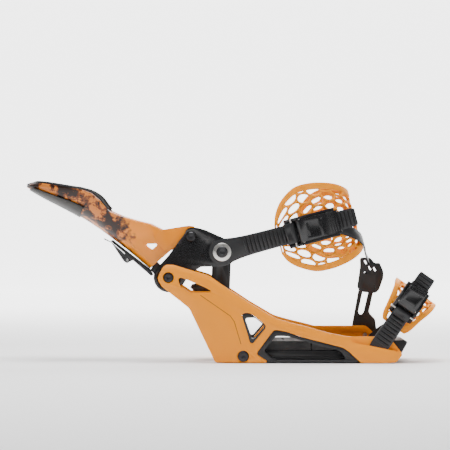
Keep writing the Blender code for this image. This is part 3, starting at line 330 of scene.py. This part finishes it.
def tortoiseshell(name, colour):
    """Amber plastic that turns to brown and black mottling towards the highback's tip."""
    recipe = Recipe(name)
    x = recipe.axes()[0]
    edge = recipe.noise(70.0, 3.0, 0.6)
    towards_tip = (edge * 0.05 - x - 0.025).between(0.222, 0.236)
    cloud = recipe.noise(50.0, 4.0, 0.60)
    fleck = recipe.noise(210.0, 3.0, 0.6)
    field = cloud * 0.8 + fleck * 0.2
    dark = field.between(0.455, 0.48) * towards_tip
    black = field.between(0.50, 0.52) * towards_tip
    glow = recipe.noise(20.0, 2.0)
    amber = recipe.mix(glow.between(0.3, 0.7), tint(colour, 0.92), tint(colour, 1.10))
    faded = recipe.mix(towards_tip * 0.7, amber, (0.56, 0.17, 0.035))
    browned = recipe.mix(dark * 0.88, faded, (0.10, 0.022, 0.006))
    inked = recipe.mix(black * 0.94, browned, (0.010, 0.005, 0.004))
    fine = recipe.noise(1500.0, 2.0)
    return recipe.finish(
        Base_Color=inked, Roughness=0.28 + fine * 0.10 + dark * 0.05, Coat_Weight=0.08, Coat_Roughness=0.18,
        Specular_IOR_Level=0.35, Normal=recipe.bump(fine, 0.06, 0.0001), Subsurface_Weight=0.12,
        Subsurface_Radius=(0.004, 0.0016, 0.0006), Subsurface_Scale=1.0,
    )


def smoke(name):
    """Smoke-grey clear plastic with faint streaks."""
    recipe = Recipe(name)
    streak = recipe.noise(60.0, 4.0, 0.6, vector=recipe.stretched((0.2, 1.0, 0.2)))
    fine = recipe.noise(1400.0, 2.0)
    shade = recipe.mix(streak.between(0.35, 0.65), (0.014, 0.013, 0.012), (0.045, 0.040, 0.036))
    return recipe.finish(
        Base_Color=shade, Roughness=0.30 + fine * 0.12, Specular_IOR_Level=0.22,
        Normal=recipe.bump(fine, 0.05, 0.0001),
    )


def lattice_foam(name, colour):
    """Soft printed lattice: a satin elastomer with layer lines and a matte skin."""
    recipe = Recipe(name)
    inputs = {"Vector": recipe.place, "Scale": 420.0, "Distortion": 0.6}
    layers = recipe.node("ShaderNodeTexWave", {"bands_direction": "Z"}, inputs)
    fine = recipe.noise(1600.0, 3.0, 0.6)
    soft = recipe.noise(40.0, 3.0)
    shade = recipe.mix(soft.between(0.3, 0.7), tint(colour, 0.90), tint(colour, 1.06))
    return recipe.finish(
        Base_Color=shade, Roughness=0.46 + fine * 0.14, Specular_IOR_Level=0.25, Subsurface_Weight=0.10,
        Subsurface_Radius=(0.003, 0.0012, 0.0004), Subsurface_Scale=1.0,
        Normal=recipe.bump(fine * 0.7 + layers * 0.3, 0.18, 0.00010),
    )


def foam_rubber(name, shade_low, shade_high, pore=900.0):
    """Moulded foam rubber: matte, with open pores and dusty high spots."""
    recipe = Recipe(name)
    pores = recipe.cells(pore)
    fine = recipe.noise(pore * 1.6, 4.0, 0.7)
    dust = recipe.noise(22.0, 5.0, 0.65)
    dusty = recipe.mix(dust.between(0.42, 0.75) * 0.6 + fine * 0.15, shade_low, shade_high)
    return recipe.finish(
        Base_Color=dusty, Roughness=0.78 + fine * 0.14,
        Normal=recipe.bump(pores.between(0.0, 0.6) + fine * 0.5, 0.45, 0.00025),
    )


def turned_steel(name, colour, rough):
    """Machined metal: tool marks round the axis, light handling smears."""
    recipe = Recipe(name)
    marks = recipe.noise(2600.0, 2.0, 0.5, vector=recipe.stretched((1.0, 0.05, 1.0)))
    smear = recipe.noise(70.0, 4.0, 0.6)
    shade = recipe.mix(smear.between(0.35, 0.7), tint(colour, 0.86), tint(colour, 1.08))
    return recipe.finish(
        Base_Color=shade, Metallic=1.0, Roughness=rough + smear * 0.12 + marks * 0.06,
        Normal=recipe.bump(marks, 0.12, 0.00008),
    )


def webbed_strap(name, colour):
    """The straps' tough plastic: satin, with lengthwise drag marks."""
    recipe = Recipe(name)
    drag = recipe.noise(500.0, 4.0, 0.6, vector=recipe.stretched((0.06, 1.0, 1.0)))
    fine = recipe.noise(1700.0, 3.0)
    smear = recipe.noise(26.0, 4.0)
    shade = recipe.mix(smear.between(0.35, 0.7), colour, tint(colour, 1.9))
    return recipe.finish(
        Base_Color=shade, Roughness=0.34 + drag * 0.14 + fine * 0.06,
        Normal=recipe.bump(drag * 0.4 + fine * 0.6, 0.16, 0.00010),
    )


def finishes():
    """All finishes, made once."""
    if "Rail orange" in bpy.data.materials:
        return
    colours = bpy.context.scene.binding_colours
    rail_orange("Rail orange", tuple(colours.rail))
    tortoiseshell("Highback amber", tuple(colours.amber))
    smoke("Smoke panel")
    lattice_foam("Lattice orange", tuple(colours.lattice))
    moulded("Moulded black", tuple(colours.black), grain=1.2, rough=0.40)
    moulded("Gloss black", tint(tuple(colours.black), 0.8), grain=0.6, rough=0.27, lacquer=0.15)
    webbed_strap("Strap black", tint(tuple(colours.black), 0.95))
    # Near-black finish for the floors between ladder teeth: painted shade where the grooves fall dark
    moulded("Painted groove shade", tint(tuple(colours.black), 0.12), grain=0.5, rough=0.75)
    foam_rubber("Foam black", (0.016, 0.016, 0.017), (0.060, 0.058, 0.056))
    foam_rubber("Tread rubber", (0.020, 0.020, 0.021), (0.075, 0.072, 0.068), pore=600.0)
    turned_steel("Turned steel", (0.66, 0.64, 0.61), 0.20)
    turned_steel("Black steel", (0.055, 0.055, 0.058), 0.30)


# ---------------------------------------------------------------- modelling helpers

def in_mm(*values):
    return tuple(value * MM for value in values)


def turned_frame(hinge, degrees):
    place = Vector(in_mm(hinge[0], 0, hinge[1]))
    return Matrix.Translation(place) @ Matrix.Rotation(math.radians(degrees), 4, "Y")


ANKLE_FRAME = turned_frame(STRAP_HINGE, -ANKLE_SLOPE)
TOE_FRAME = turned_frame(TOE_HINGE, -TOE_SLOPE)
SPINE_FRAME = turned_frame(SPINE_FOOT, -HIGHBACK_TILT)


def deselect():
    if bpy.context.object and bpy.context.object.mode != "OBJECT":
        bpy.ops.object.mode_set(mode="OBJECT")
    bpy.ops.object.select_all(action="DESELECT")


def take(piece):
    """Makes one piece the selected and active one."""
    deselect()
    piece.select_set(True)
    bpy.context.view_layer.objects.active = piece


def edit(piece, *steps):
    """Runs edit-mode steps on the whole piece."""
    take(piece)
    bpy.ops.object.mode_set(mode="EDIT")
    bpy.ops.mesh.select_all(action="SELECT")
    for step in steps:
        step()
    bpy.ops.object.mode_set(mode="OBJECT")


def apply(piece, kind, **settings):
    """Adds a modifier and applies it."""
    take(piece)
    modifier = piece.modifiers.new(kind.title(), kind)
    for key, value in settings.items():
        setattr(modifier, key, value)
    bpy.ops.object.modifier_apply(modifier=modifier.name)


def weld(distance):
    """An edit step that merges points closer than a distance in millimetres."""
    return lambda: bpy.ops.mesh.remove_doubles(threshold=distance * MM)


def face_outwards():
    bpy.ops.mesh.normals_make_consistent(inside=False)


def round_edges(piece, width, segments):
    """Rounds a piece's sharp edges by a width in millimetres."""
    apply(
        piece, "BEVEL", width=width * MM, segments=segments, limit_method="ANGLE",
        angle_limit=math.radians(50),
    )


def settle(piece):
    """Puts the piece's place, turn and size into its mesh."""
    take(piece)
    bpy.ops.object.transform_apply(location=True, rotation=True, scale=True)


def smooth(piece, angle):
    take(piece)
    bpy.ops.object.shade_smooth_by_angle(angle=math.radians(angle))


def coat(piece, material):
    piece.data.materials.clear()
    piece.data.materials.append(bpy.data.materials[material])


def body_of(node):
    bodies = frame["record"]["behaviour"]["bodies"]
    return next(body for body, nodes in bodies.items() if node in nodes)


def finer(node, material, edge=None, segments=2, flat=1.0, angle=34.0):
    """A merged copy of a solid with rounded edges, which stands for it."""
    source = frame["nodes"][node]
    piece = source.copy()
    piece.data = source.data.copy()
    for key in list(piece.keys()):  # the node's own tags, which a copy must not carry
        del piece[key]
    piece.parent = None
    piece.name = node + "_fine"
    bpy.context.scene.collection.objects.link(piece)
    steps = [weld(0.004)]
    if flat:
        steps.append(lambda: bpy.ops.mesh.dissolve_limited(angle_limit=math.radians(flat)))
    edit(piece, *steps)
    width = bpy.context.scene.binding_sizes.edge if edge is None else edge
    if width:
        apply(
            piece, "BEVEL", width=width, segments=segments, limit_method="ANGLE",
            angle_limit=math.radians(angle), use_clamp_overlap=True, miter_outer="MITER_ARC",
            harden_normals=False,
        )
    smooth(piece, 40.0)
    coat(piece, material)
    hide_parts(node)
    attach(piece, body_of(node))
    return piece


def spline_point(points, t):
    """A point of the smooth curve through the given points, t from 0 to 1."""
    last = len(points) - 1
    place = min(max(t, 0.0), 1.0) * last
    i = min(int(place), last - 1)
    f = place - i
    a, b, c, d = points[max(i - 1, 0)], points[i], points[i + 1], points[min(i + 2, last)]
    return [
        0.5 * (2 * q + (r - p) * f + (2 * p - 5 * q + 4 * r - s) * f * f + (3 * q - p - 3 * r + s) * f ** 3)
        for p, q, r, s in zip(a, b, c, d)
    ]


def even_steps(stations, count=200):
    """Spline parameters at even distances along a strap, and the strap's length in millimetres."""
    marks, total = [0.0], 0.0
    before = spline_point(stations, 0.0)
    for k in range(1, count + 1):
        here = spline_point(stations, k / count)
        total += math.hypot(here[0] - before[0], here[1] - before[1])
        marks.append(total)
        before = here

    def at(distance):
        k = 0
        while k < count - 1 and marks[k + 1] < distance:
            k += 1
        step = marks[k + 1] - marks[k]
        return (k + (distance - marks[k]) / step if step else k) / count

    return at, total


def strap_point(stations, t, across, lift=0.0):
    """A point on a strap: across from 0 (low edge) to 1, lifted outwards along its normal."""
    u, y, low, high = spline_point(stations, t)
    ahead = spline_point(stations, min(t + 0.004, 1.0))
    back = spline_point(stations, max(t - 0.004, 0.0))
    du, dy = ahead[0] - back[0], ahead[1] - back[1]
    length = math.hypot(du, dy) or 1.0
    return Vector((u + lift * dy / length, y - lift * du / length, low + (high - low) * across))


def grid(name, columns, rows):
    """A flat unit grid, corner at the origin."""
    deselect()
    bpy.ops.mesh.primitive_grid_add(
        x_subdivisions=columns, y_subdivisions=rows, size=1.0, location=(0.5, 0.5, 0.0),
    )
    piece = bpy.context.object
    piece.name = name
    settle(piece)
    return piece


def reshape(piece, place, matrix):
    """Moves each vertex to place(x, y) in millimetres, then into the strap's frame."""
    for vertex in piece.data.vertices:
        vertex.co = matrix @ (Vector(place(vertex.co)) * MM)
    piece.data.update()


def punch(piece, place, size, slope):
    """Cuts a slot, turned about Y by slope degrees, through a finished piece."""
    deselect()
    turn = (0.0, math.radians(slope), 0.0)
    bpy.ops.mesh.primitive_cube_add(size=1.0, location=in_mm(*place), rotation=turn)
    cutter = bpy.context.object
    cutter.scale = in_mm(*size)
    settle(cutter)
    edit(cutter, lambda: bpy.ops.mesh.bevel(offset=0.8 * MM, segments=2, affect="EDGES"))
    apply(piece, "BOOLEAN", operation="DIFFERENCE", object=cutter, solver="EXACT")
    bpy.data.objects.remove(cutter)
    smooth(piece, 40.0)


# ---------------------------------------------------------------- pieces

def honeycomb(name, stations, matrix, cell, lift, thickness, margin):
    """A sheet of six-sided cells on a strap pad, made into rounded struts."""
    at, length = even_steps(stations)
    columns = max(6, round(length / (cell * 0.866)))
    widest = max(high - low for _, _, low, high in stations)
    rows = max(4, 2 * round(widest / (cell * 0.75)))
    piece = grid(name, columns, rows)
    take(piece)
    bpy.ops.object.mode_set(mode="EDIT")
    bpy.ops.mesh.select_mode(type="EDGE")
    bpy.ops.mesh.select_all(action="DESELECT")
    bpy.ops.object.mode_set(mode="OBJECT")
    mesh = piece.data
    for edge in mesh.edges:
        a, b = (mesh.vertices[i].co for i in edge.vertices)
        if abs(a.y - b.y) > 1e-6:
            continue
        i = round(min(a.x, b.x) * columns)
        j = round(a.y * rows)
        edge.select = 0 < j < rows and (i + j) % 2 == 0
    bpy.ops.object.mode_set(mode="EDIT")
    bpy.ops.mesh.dissolve_edges(use_verts=False)
    bpy.ops.object.mode_set(mode="OBJECT")
    stagger, drift_along, drift_across = 0.16, 0.11, 0.13  # in cells
    run = length - 2 * margin

    def place(co):
        i, j = round(co.x * columns), round(co.y * rows)
        a, b = i, j
        if 0 < i < columns:
            a += drift_along * math.sin(12.9 * i + 7.3 * j)
            if 0 < j < rows:
                a += stagger if (i + j) % 2 else -stagger
        if 0 < j < rows:
            b += drift_across * math.sin(5.7 * i - 9.1 * j)
        t = at(margin + run * min(max(a / columns, 0.0), 1.0))
        _, _, low, high = spline_point(stations, t)
        inset = margin / max(high - low, 1.0)
        return strap_point(stations, t, inset + (1 - 2 * inset) * (b / rows), lift)

    reshape(piece, place, matrix)
    apply(
        piece, "WIREFRAME", thickness=thickness * MM, use_even_offset=False, use_boundary=True,
        use_replace=True,
    )
    apply(piece, "SUBSURF", levels=1, render_levels=1)
    smooth(piece, 180.0)
    return piece


def rim_ring(name, stations, matrix, width, thickness):
    """The solid rim along a pad's outline, its edges rounded."""
    at, length = even_steps(stations)
    along = [at(length * k / 60) for k in range(61)]
    across = [k / 8 for k in range(1, 8)]
    outline = [(t, 0.0) for t in along] + [(1.0, b) for b in across]
    outline += [(t, 1.0) for t in reversed(along)] + [(0.0, b) for b in reversed(across)]
    count = len(outline)
    piece = grid(name, count, 3)

    def place(co):
        t, b = outline[round(co.x * count) % count]
        deep = width * co.y
        end = deep / length
        t = min(max(t, end), 1 - end)
        _, _, low, high = spline_point(stations, t)
        share = deep / (high - low)
        return strap_point(stations, t, min(max(b, share), 1 - share))

    reshape(piece, place, matrix)
    edit(piece, weld(0.04), face_outwards)
    apply(piece, "SOLIDIFY", thickness=thickness * MM, offset=0.0)
    round_edges(piece, thickness * 0.32, 3)
    smooth(piece, 70.0)
    return piece


def pad_lattice(node, stations, matrix, band, fineness=1.0):
    """A strap pad: an outer and an inner honeycomb, its rim bead, and the solid band under the buckle."""
    sizes = bpy.context.scene.binding_sizes
    cell, strut, rim = (size * fineness / MM for size in (sizes.cell, sizes.strut, sizes.rim))
    body = body_of(node)
    margin = rim * 0.5
    outer = honeycomb(f"{node}_outer_lattice", stations, matrix, cell, -0.8, strut, margin)
    inner = honeycomb(f"{node}_inner_lattice", stations, matrix, cell, 1.2, strut * 0.85, margin)
    ring = rim_ring(f"{node}_rim", stations, matrix, rim, 4.6 * fineness ** 0.4)
    spread = grid(f"{node}_band", 60, 8)
    at, length = even_steps(stations)
    start, end, low, high = band

    def place(co):
        t = at(length * (start + (end - start) * co.x))
        return strap_point(stations, t, low + (high - low) * co.y, -0.3)

    reshape(spread, place, matrix)
    apply(spread, "SOLIDIFY", thickness=2.6 * MM, offset=0.0)
    round_edges(spread, 0.5, 2)
    smooth(spread, 60.0)
    for piece in (outer, inner, ring, spread):
        coat(piece, "Lattice orange")
        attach(piece, body)
    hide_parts(node)


def ladder_teeth(name, stations, matrix, body, start, end, lift):
    """A row of slanted teeth that a ratchet bites into, from start to end along its strap."""
    pitch = bpy.context.scene.binding_sizes.tooth_pitch / MM
    at, length = even_steps(stations)
    count = int((end - start) / pitch)
    tooth_height, side_margin = 1.4, 0.10
    # One tooth as (share of the pitch, share of the height).
    profile = ((0.0, 0.0), (0.06, 0.7), (0.20, 1.0), (0.40, 1.0), (0.54, 0.7), (0.60, 0.0))
    steps = len(profile)
    piece = grid(name, count * steps, 4)
    # The last step of each pitch, the groove floor, takes the second slot: painted shade in the grooves
    for face in piece.data.polygons:
        face.material_index = int(face.center.x * count * steps) % steps == steps - 1

    def place(co):
        k = round(co.x * count * steps)
        ahead, height = profile[k % steps]
        if co.y in (0.0, 1.0):
            height = 0.0
        t = at(min(start + (k // steps + ahead) * pitch, length))
        across = side_margin + (1 - 2 * side_margin) * co.y
        return strap_point(stations, t, across, lift + tooth_height * height)

    reshape(piece, place, matrix)
    apply(piece, "SOLIDIFY", thickness=0.5 * MM, offset=-1.0)
    smooth(piece, 30.0)
    piece.data.materials.append(bpy.data.materials["Strap black"])
    # Second slot: painted shade on the groove floors between teeth
    piece.data.materials.append(bpy.data.materials["Painted groove shade"])
    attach(piece, body)


def tube(name, points, radius):
    """A round bead through points in metres."""
    curve = bpy.data.curves.new(name, "CURVE")
    curve.dimensions = "3D"
    curve.bevel_depth = radius * MM
    curve.bevel_resolution = 3
    curve.use_fill_caps = True
    spline = curve.splines.new("POLY")
    spline.points.add(len(points) - 1)
    for point, place in zip(spline.points, points):
        point.co = (*place, 1.0)
    made = bpy.data.objects.new(name, curve)
    bpy.context.scene.collection.objects.link(made)
    take(made)
    bpy.ops.object.convert(target="MESH")
    piece = bpy.context.object
    edit(piece, weld(0.01), face_outwards)
    smooth(piece, 70.0)
    return piece


def highback_point(a, b, lift=0.0, span=(0.0, 1.0)):
    """A point of the highback's middle surface, (depth, y, height), b from -1 to 1 across."""
    low, high = span
    spine, rim, back, front, width = spline_point(HIGHBACK_ROWS, low + (high - low) * a)
    width -= lift * (1.0 + a * a)
    swing = abs(b) * math.pi / 2
    rise = 1.0 - math.cos(swing)
    height = spine + (rim - spine) * rise
    depth = back + lift + (front - back - 0.3 * lift) * rise
    return Vector((depth, math.copysign(width * math.sin(swing), b), height))


def foam_liner():
    """The highback's foam: a crowned pad with pressed channels and a rolled edge."""
    channels = bpy.context.scene.binding_sizes.foam_channels
    piece = grid("highback_foam", 60, 72)
    base = SHELL_WALL / 2 + WALL_GAP + 0.6
    crown_height, channel_depth, rib_depth = 2.9, 0.605, 0.45
    span = (0.425, 0.85)  # the stretch of the spine that the foam covers

    def place(co):
        b = (2 * co.y - 1) * 0.97
        across = math.sin(math.pi * (co.y * channels + 0.5))
        pressed = channel_depth * max(0.0, 1.0 - abs(across) * 3.2)
        crown = min(1.0, 6.0 * co.x, 6.0 * (1 - co.x)) * min(1.0, 7.0 * co.y, 7.0 * (1 - co.y))
        ribs = rib_depth * max(0.0, 1.0 - 6.0 * abs((co.x * 7.0) % 1.0 - 0.5))
        return highback_point(co.x, b, base + crown_height * crown ** 0.4 - pressed - ribs, span)

    reshape(piece, place, SPINE_FRAME)
    apply(piece, "SOLIDIFY", thickness=1.1 * MM, offset=0.0)
    round_edges(piece, 0.4, 2)
    smooth(piece, 60.0)
    coat(piece, "Foam black")
    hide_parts("highback_pad")
    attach(piece, "highback")
    side = [0.37 + 0.63 * k / 40 for k in range(41)]
    edge = [highback_point(a, -1.0) for a in side]
    edge += [highback_point(1.0, -1.0 + 2.0 * k / 12) for k in range(1, 12)]
    edge += [highback_point(a, 1.0) for a in reversed(side)]
    points = [SPINE_FRAME @ ((spot + Vector((1.7, 0.0, 0.0))) * MM) for spot in edge]
    lip = tube("highback_lip", points, 1.5)
    coat(lip, "Foam black")
    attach(lip, "highback")


def lever_detail(prefix, matrix, body, frame_box, top, ribs, half):
    """A raised frame round a buckle lever's pocket and ribs on its lifting end."""
    u0, u1, inner = frame_box
    outer = half - 0.8
    bars = [
        ((u0 - 4.0, top - 0.9, inner), (u1 + 6.0, top + 1.4, outer)),
        ((u0 - 4.0, top - 0.9, -outer), (u1 + 6.0, top + 1.4, -inner)),
        ((u1, top - 1.1, -outer), (u1 + 3.4, top + 1.4, outer)),
        ((u0 - 3.0, top - 0.6, -outer), (u0, top + 1.4, outer)),
    ]
    (u2, y2), (u3, y3) = ribs
    for k in range(4):
        share = k / 3
        u, y = u2 + (u3 - u2) * share, y2 + (y3 - y2) * share
        bars.append(((u, y - 0.7, -outer + 1.5), (u + 1.3, y + 1.2, outer - 1.5)))
    for k, (low, high) in enumerate(bars):
        slab_bar(f"{prefix}_detail_{k}", low, high, 0.45, "Gloss black", body, matrix)


def slab_bar(name, low, high, edge, material, body, matrix=Matrix.Identity(4)):
    """A raised bar between two corners in millimetres, in the world or in a strap's frame."""
    deselect()
    low, high = Vector(low) * MM, Vector(high) * MM
    bpy.ops.mesh.primitive_cube_add(size=1.0, location=(low + high) / 2)
    piece = bpy.context.object
    piece.name = name
    piece.scale = high - low
    settle(piece)
    edit(piece, lambda: bpy.ops.mesh.bevel(offset=edge * MM, segments=2, affect="EDGES"))
    piece.data.transform(matrix)
    smooth(piece, 40.0)
    coat(piece, material)
    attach(piece, body)


# ---------------------------------------------------------------- operators

class Builder:
    """What every operator of this add-on shares."""

    bl_options = {"REGISTER", "UNDO"}

    def execute(self, context):
        finishes()
        self.build(context)
        return {"FINISHED"}


class BINDING_OT_rails(Builder, bpy.types.Operator):
    """Orange side rails, black sill frames and window inserts"""

    bl_idname = "binding.rails"
    bl_label = "Side rails"

    def build(self, context):
        for side in ("outer", "inner"):
            finer(f"side_rail_{side}", "Rail orange", edge=0.0004, flat=0.4)
            finer(f"sill_frame_{side}", "Moulded black")
            finer(f"window_insert_{side}", "Moulded black")


class BINDING_OT_base(Builder, bpy.types.Operator):
    """Tray, gasket, footbed, toe ramp and mounting disc"""

    bl_idname = "binding.base"
    bl_label = "Base"

    def build(self, context):
        finer("base_tray", "Moulded black")
        finer("toe_ramp", "Moulded black")
        finer("mounting_disc", "Moulded black", edge=0.0003)
        finer("base_gasket", "Tread rubber", edge=0.0003)
        for node in ("footbed_heel_pad", "footbed_toe_pad"):
            finer(node, "Tread rubber", edge=0.0008, segments=3)
        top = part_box("footbed_heel_pad")[1].z / MM
        grips = (
            ("heel", (-84.0, -63.0, -41.0, -19.0), (-26.0, 0.0, 26.0), 9.0),
            ("toe", (14.5, 34.0, 58.0), (-28.0, 0.0, 28.0), 10.0),
        )
        for pad, lengthwise, crosswise, half in grips:
            for i, x in enumerate(lengthwise):
                for j, y in enumerate(crosswise):
                    low, high = (x - 3.2, y - half, top - 0.3), (x + 3.2, y + half, top + 0.5)
                    slab_bar(f"{pad}_grip_{i}_{j}", low, high, 0.4, "Tread rubber", "base")
        for k in range(1, 5):
            finer(f"disc_screw_{k}", "Turned steel", edge=0.0002)


class BINDING_OT_yoke(Builder, bpy.types.Operator):
    """Heel yoke, pedal and their hardware"""

    bl_idname = "binding.yoke"
    bl_label = "Heel yoke"

    def build(self, context):
        finer("heel_yoke", "Gloss black", edge=0.0005, flat=0.6)
        finer("pedal_stirrup", "Moulded black", edge=0.0006)
        finer("pedal_tread", "Tread rubber", edge=0.0002)
        for side in ("outer", "inner"):
            finer(f"pivot_bolt_{side}", "Black steel", edge=0.0003)
            finer(f"rail_bolt_{side}", "Black steel", edge=0.0003)
            finer(f"highback_bolt_{side}", "Black steel", edge=0.0003)
            finer(f"pivot_bush_{side}", "Turned steel", edge=0.0002)
            finer(f"open_spring_{side}", "Turned steel", edge=0.0, flat=0.0)
            finer(f"toe_bolt_{side}", "Turned steel", edge=0.0002)
        finer("strap_bolt", "Black steel", edge=0.0004)
        finer("strap_washer", "Turned steel", edge=0.0002)
        finer("pedal_bolt_inner", "Black steel", edge=0.0004)
        finer("hanger_bolt", "Turned steel", edge=0.0003)


class BINDING_OT_highback(Builder, bpy.types.Operator):
    """Amber highback with its panel, foam, spine plate and release lever"""

    bl_idname = "binding.highback"
    bl_label = "Highback"

    def build(self, context):
        finer("highback_shell", "Highback amber", edge=0.0007, flat=0.0, segments=3, angle=50.0)
        finer("highback_panel", "Smoke panel", edge=0.0003, flat=0.0, angle=50.0)
        finer("spine_plate", "Moulded black")
        finer("lean_block", "Moulded black")
        finer("release_lever", "Gloss black")
        finer("release_pin", "Turned steel", edge=0.0)
        foam_liner()


class BINDING_OT_straps(Builder, bpy.types.Operator):
    """Lattice pads, ladder straps, bands and the hanger"""

    bl_idname = "binding.straps"
    bl_label = "Straps"

    def build(self, context):
        pad_lattice("ankle_pad", ANKLE_PAD, ANKLE_FRAME, (0.06, 0.94, 0.40, 0.60))
        pad_lattice("toe_pad", TOE_PAD, TOE_FRAME, (0.05, 0.95, 0.38, 0.62), fineness=0.68)
        for part, edge in (("ladder", 0.0005), ("band", 0.0004)):
            for strap in ("ankle", "toe"):
                finer(f"{strap}_{part}", "Strap black", edge=edge, flat=0.0, angle=50.0)
        connector = finer("ankle_connector", "Moulded black")
        slots = ((79.0, 124.6, 62.0), (84.6, 116.8, 62.0), (90.8, 115.4, 62.0), (79.8, 110.6, 20.0))
        for x, z, slope in slots:
            punch(connector, (x, 64.6, z), (5.6, 8.0, 2.2), slope)
        finer("ankle_hanger", "Moulded black", edge=0.0006)
        # The ankle teeth stop under the buckle, where the opened lever needs the room.
        for part, start, end in (("front", 46.0, 106.0), ("tail", 128.0, 188.0)):
            ladder_teeth(f"ankle_teeth_{part}", ANKLE_LADDER, ANKLE_FRAME, "ankle_strap", start, end, 1.55)
        ladder_teeth("toe_teeth", TOE_LADDER, TOE_FRAME, "toe_strap", 22.0, 124.0, 1.45)


class BINDING_OT_buckles(Builder, bpy.types.Operator):
    """Ratchet buckles: trays, levers, release tabs and pins"""

    bl_idname = "binding.buckles"
    bl_label = "Buckles"

    def build(self, context):
        for strap in ("ankle", "toe"):
            finer(f"{strap}_buckle_tray", "Moulded black", edge=0.0003)
            finer(f"{strap}_buckle_lever", "Gloss black", edge=0.0005)
            finer(f"{strap}_buckle_release", "Moulded black", edge=0.0003)
            finer(f"{strap}_lever_pin", "Turned steel", edge=0.0)
            finer(f"{strap}_release_pin", "Turned steel", edge=0.0)
        lever_detail(
            "ankle_lever", ANKLE_FRAME, "ankle_lever", (113.0, 126.0, 8.5), -66.9,
            ((138.0, -65.4), (148.0, -61.6)), 14.2,
        )
        lever_detail(
            "toe_lever", TOE_FRAME, "toe_lever", (78.0, 89.0, 7.0), -68.8,
            ((92.0, -67.2), (98.5, -63.2)), 12.2,
        )


class BINDING_OT_stage(bpy.types.Operator):
    """Pale floor and backdrop, soft lights and the camera"""

    bl_idname = "binding.stage"
    bl_label = "Stage"

    def execute(self, context):
        low, high = SOLID_BOX
        middle = (Vector(low) + Vector(high)) / 2
        deselect()
        bpy.ops.mesh.primitive_plane_add(size=1.0, location=(middle.x, 0.9, 0.0))
        sweep = bpy.context.object
        sweep.name = "studio_sweep"
        sweep.scale = (12.0, 7.4, 1.0)
        settle(sweep)
        take(sweep)
        bpy.ops.object.mode_set(mode="EDIT")
        bpy.ops.mesh.select_mode(type="EDGE")
        bpy.ops.mesh.select_all(action="DESELECT")
        bpy.ops.object.mode_set(mode="OBJECT")
        for edge in sweep.data.edges:
            edge.select = all(sweep.data.vertices[i].co.y > 3.0 for i in edge.vertices)
        bpy.ops.object.mode_set(mode="EDIT")
        bpy.ops.mesh.extrude_region_move(TRANSFORM_OT_translate={"value": (0.0, 0.0, 5.0)})
        bpy.ops.object.mode_set(mode="OBJECT")
        apply(sweep, "BEVEL", width=1.4, segments=16, limit_method="ANGLE", angle_limit=math.radians(60))
        smooth(sweep, 60.0)
        recipe = Recipe("Studio paper")
        tone = recipe.noise(3.0, 2.0)
        depth = recipe.axes()[1]
        glow = recipe.mix(depth.between(0.25, 2.2), (0.0, 0.0, 0.0), (1.0, 1.0, 1.0))
        recipe.finish(
            Base_Color=recipe.mix(tone, (0.88, 0.88, 0.88), (0.92, 0.92, 0.92)), Roughness=0.9,
            Emission_Color=glow, Emission_Strength=3.2,
        )
        coat(sweep, "Studio paper")
        world = bpy.data.worlds.new("Studio") if not bpy.data.worlds else bpy.data.worlds[0]
        context.scene.world = world
        world.use_nodes = True
        background = world.node_tree.nodes["Background"]
        background.inputs["Color"].default_value = (1.0, 1.0, 1.0, 1.0)
        background.inputs["Strength"].default_value = 0.17
        for name, place, size, power in (
            ("key_light", (-0.7, -1.2, 1.6), 0.7, 15.0),
            ("fill_light", (1.3, -1.7, 0.4), 1.2, 3.5),
            ("rim_light", (0.4, 1.0, 1.2), 0.8, 12.0),
            ("top_light", (0.0, -0.15, 1.6), 1.0, 44.0),
        ):
            lamp = bpy.data.lights.new(name, "AREA")
            lamp.size = size
            lamp.energy = power
            holder = bpy.data.objects.new(name, lamp)
            context.scene.collection.objects.link(holder)
            holder.location = place
            holder.rotation_euler = (middle - holder.location).to_track_quat("-Z", "Y").to_euler()
        camera = bpy.data.cameras.new("camera")
        camera.lens = 192.0
        camera.sensor_width = 36.0
        camera.clip_end = 50.0
        holder = bpy.data.objects.new("camera", camera)
        context.scene.collection.objects.link(holder)
        holder.location = (-0.10375, -3.06, 0.1729)
        holder.rotation_euler = (math.radians(90.0), 0.0, 0.0)
        context.scene.camera = holder
        return {"FINISHED"}


PIECES = ("rails", "base", "yoke", "highback", "straps", "buckles")


class BINDING_PT_panel(bpy.types.Panel):
    """The binding's sizes, colours and pieces"""

    bl_label = "Step-in binding"
    bl_space_type = "VIEW_3D"
    bl_region_type = "UI"
    bl_category = "Binding"

    def draw(self, context):
        for settings in (context.scene.binding_sizes, context.scene.binding_colours):
            for name in settings.__annotations__:
                self.layout.prop(settings, name)
        self.layout.operator("binding.stage")
        for name in PIECES:
            self.layout.operator(f"binding.{name}")


CLASSES = (
    BindingColours, BindingSizes, BINDING_OT_stage, BINDING_OT_rails, BINDING_OT_base, BINDING_OT_yoke,
    BINDING_OT_highback, BINDING_OT_straps, BINDING_OT_buckles, BINDING_PT_panel,
)


def register():
    for kind in CLASSES:
        bpy.utils.register_class(kind)
    bpy.types.Scene.binding_colours = PointerProperty(type=BindingColours)
    bpy.types.Scene.binding_sizes = PointerProperty(type=BindingSizes)


def unregister():
    del bpy.types.Scene.binding_sizes
    del bpy.types.Scene.binding_colours
    for kind in reversed(CLASSES):
        bpy.utils.unregister_class(kind)


def main():
    register()
    bpy.ops.binding.stage()
    for name in PIECES:
        getattr(bpy.ops.binding, name)()
    deselect()


if __name__ == "__main__":
    main()
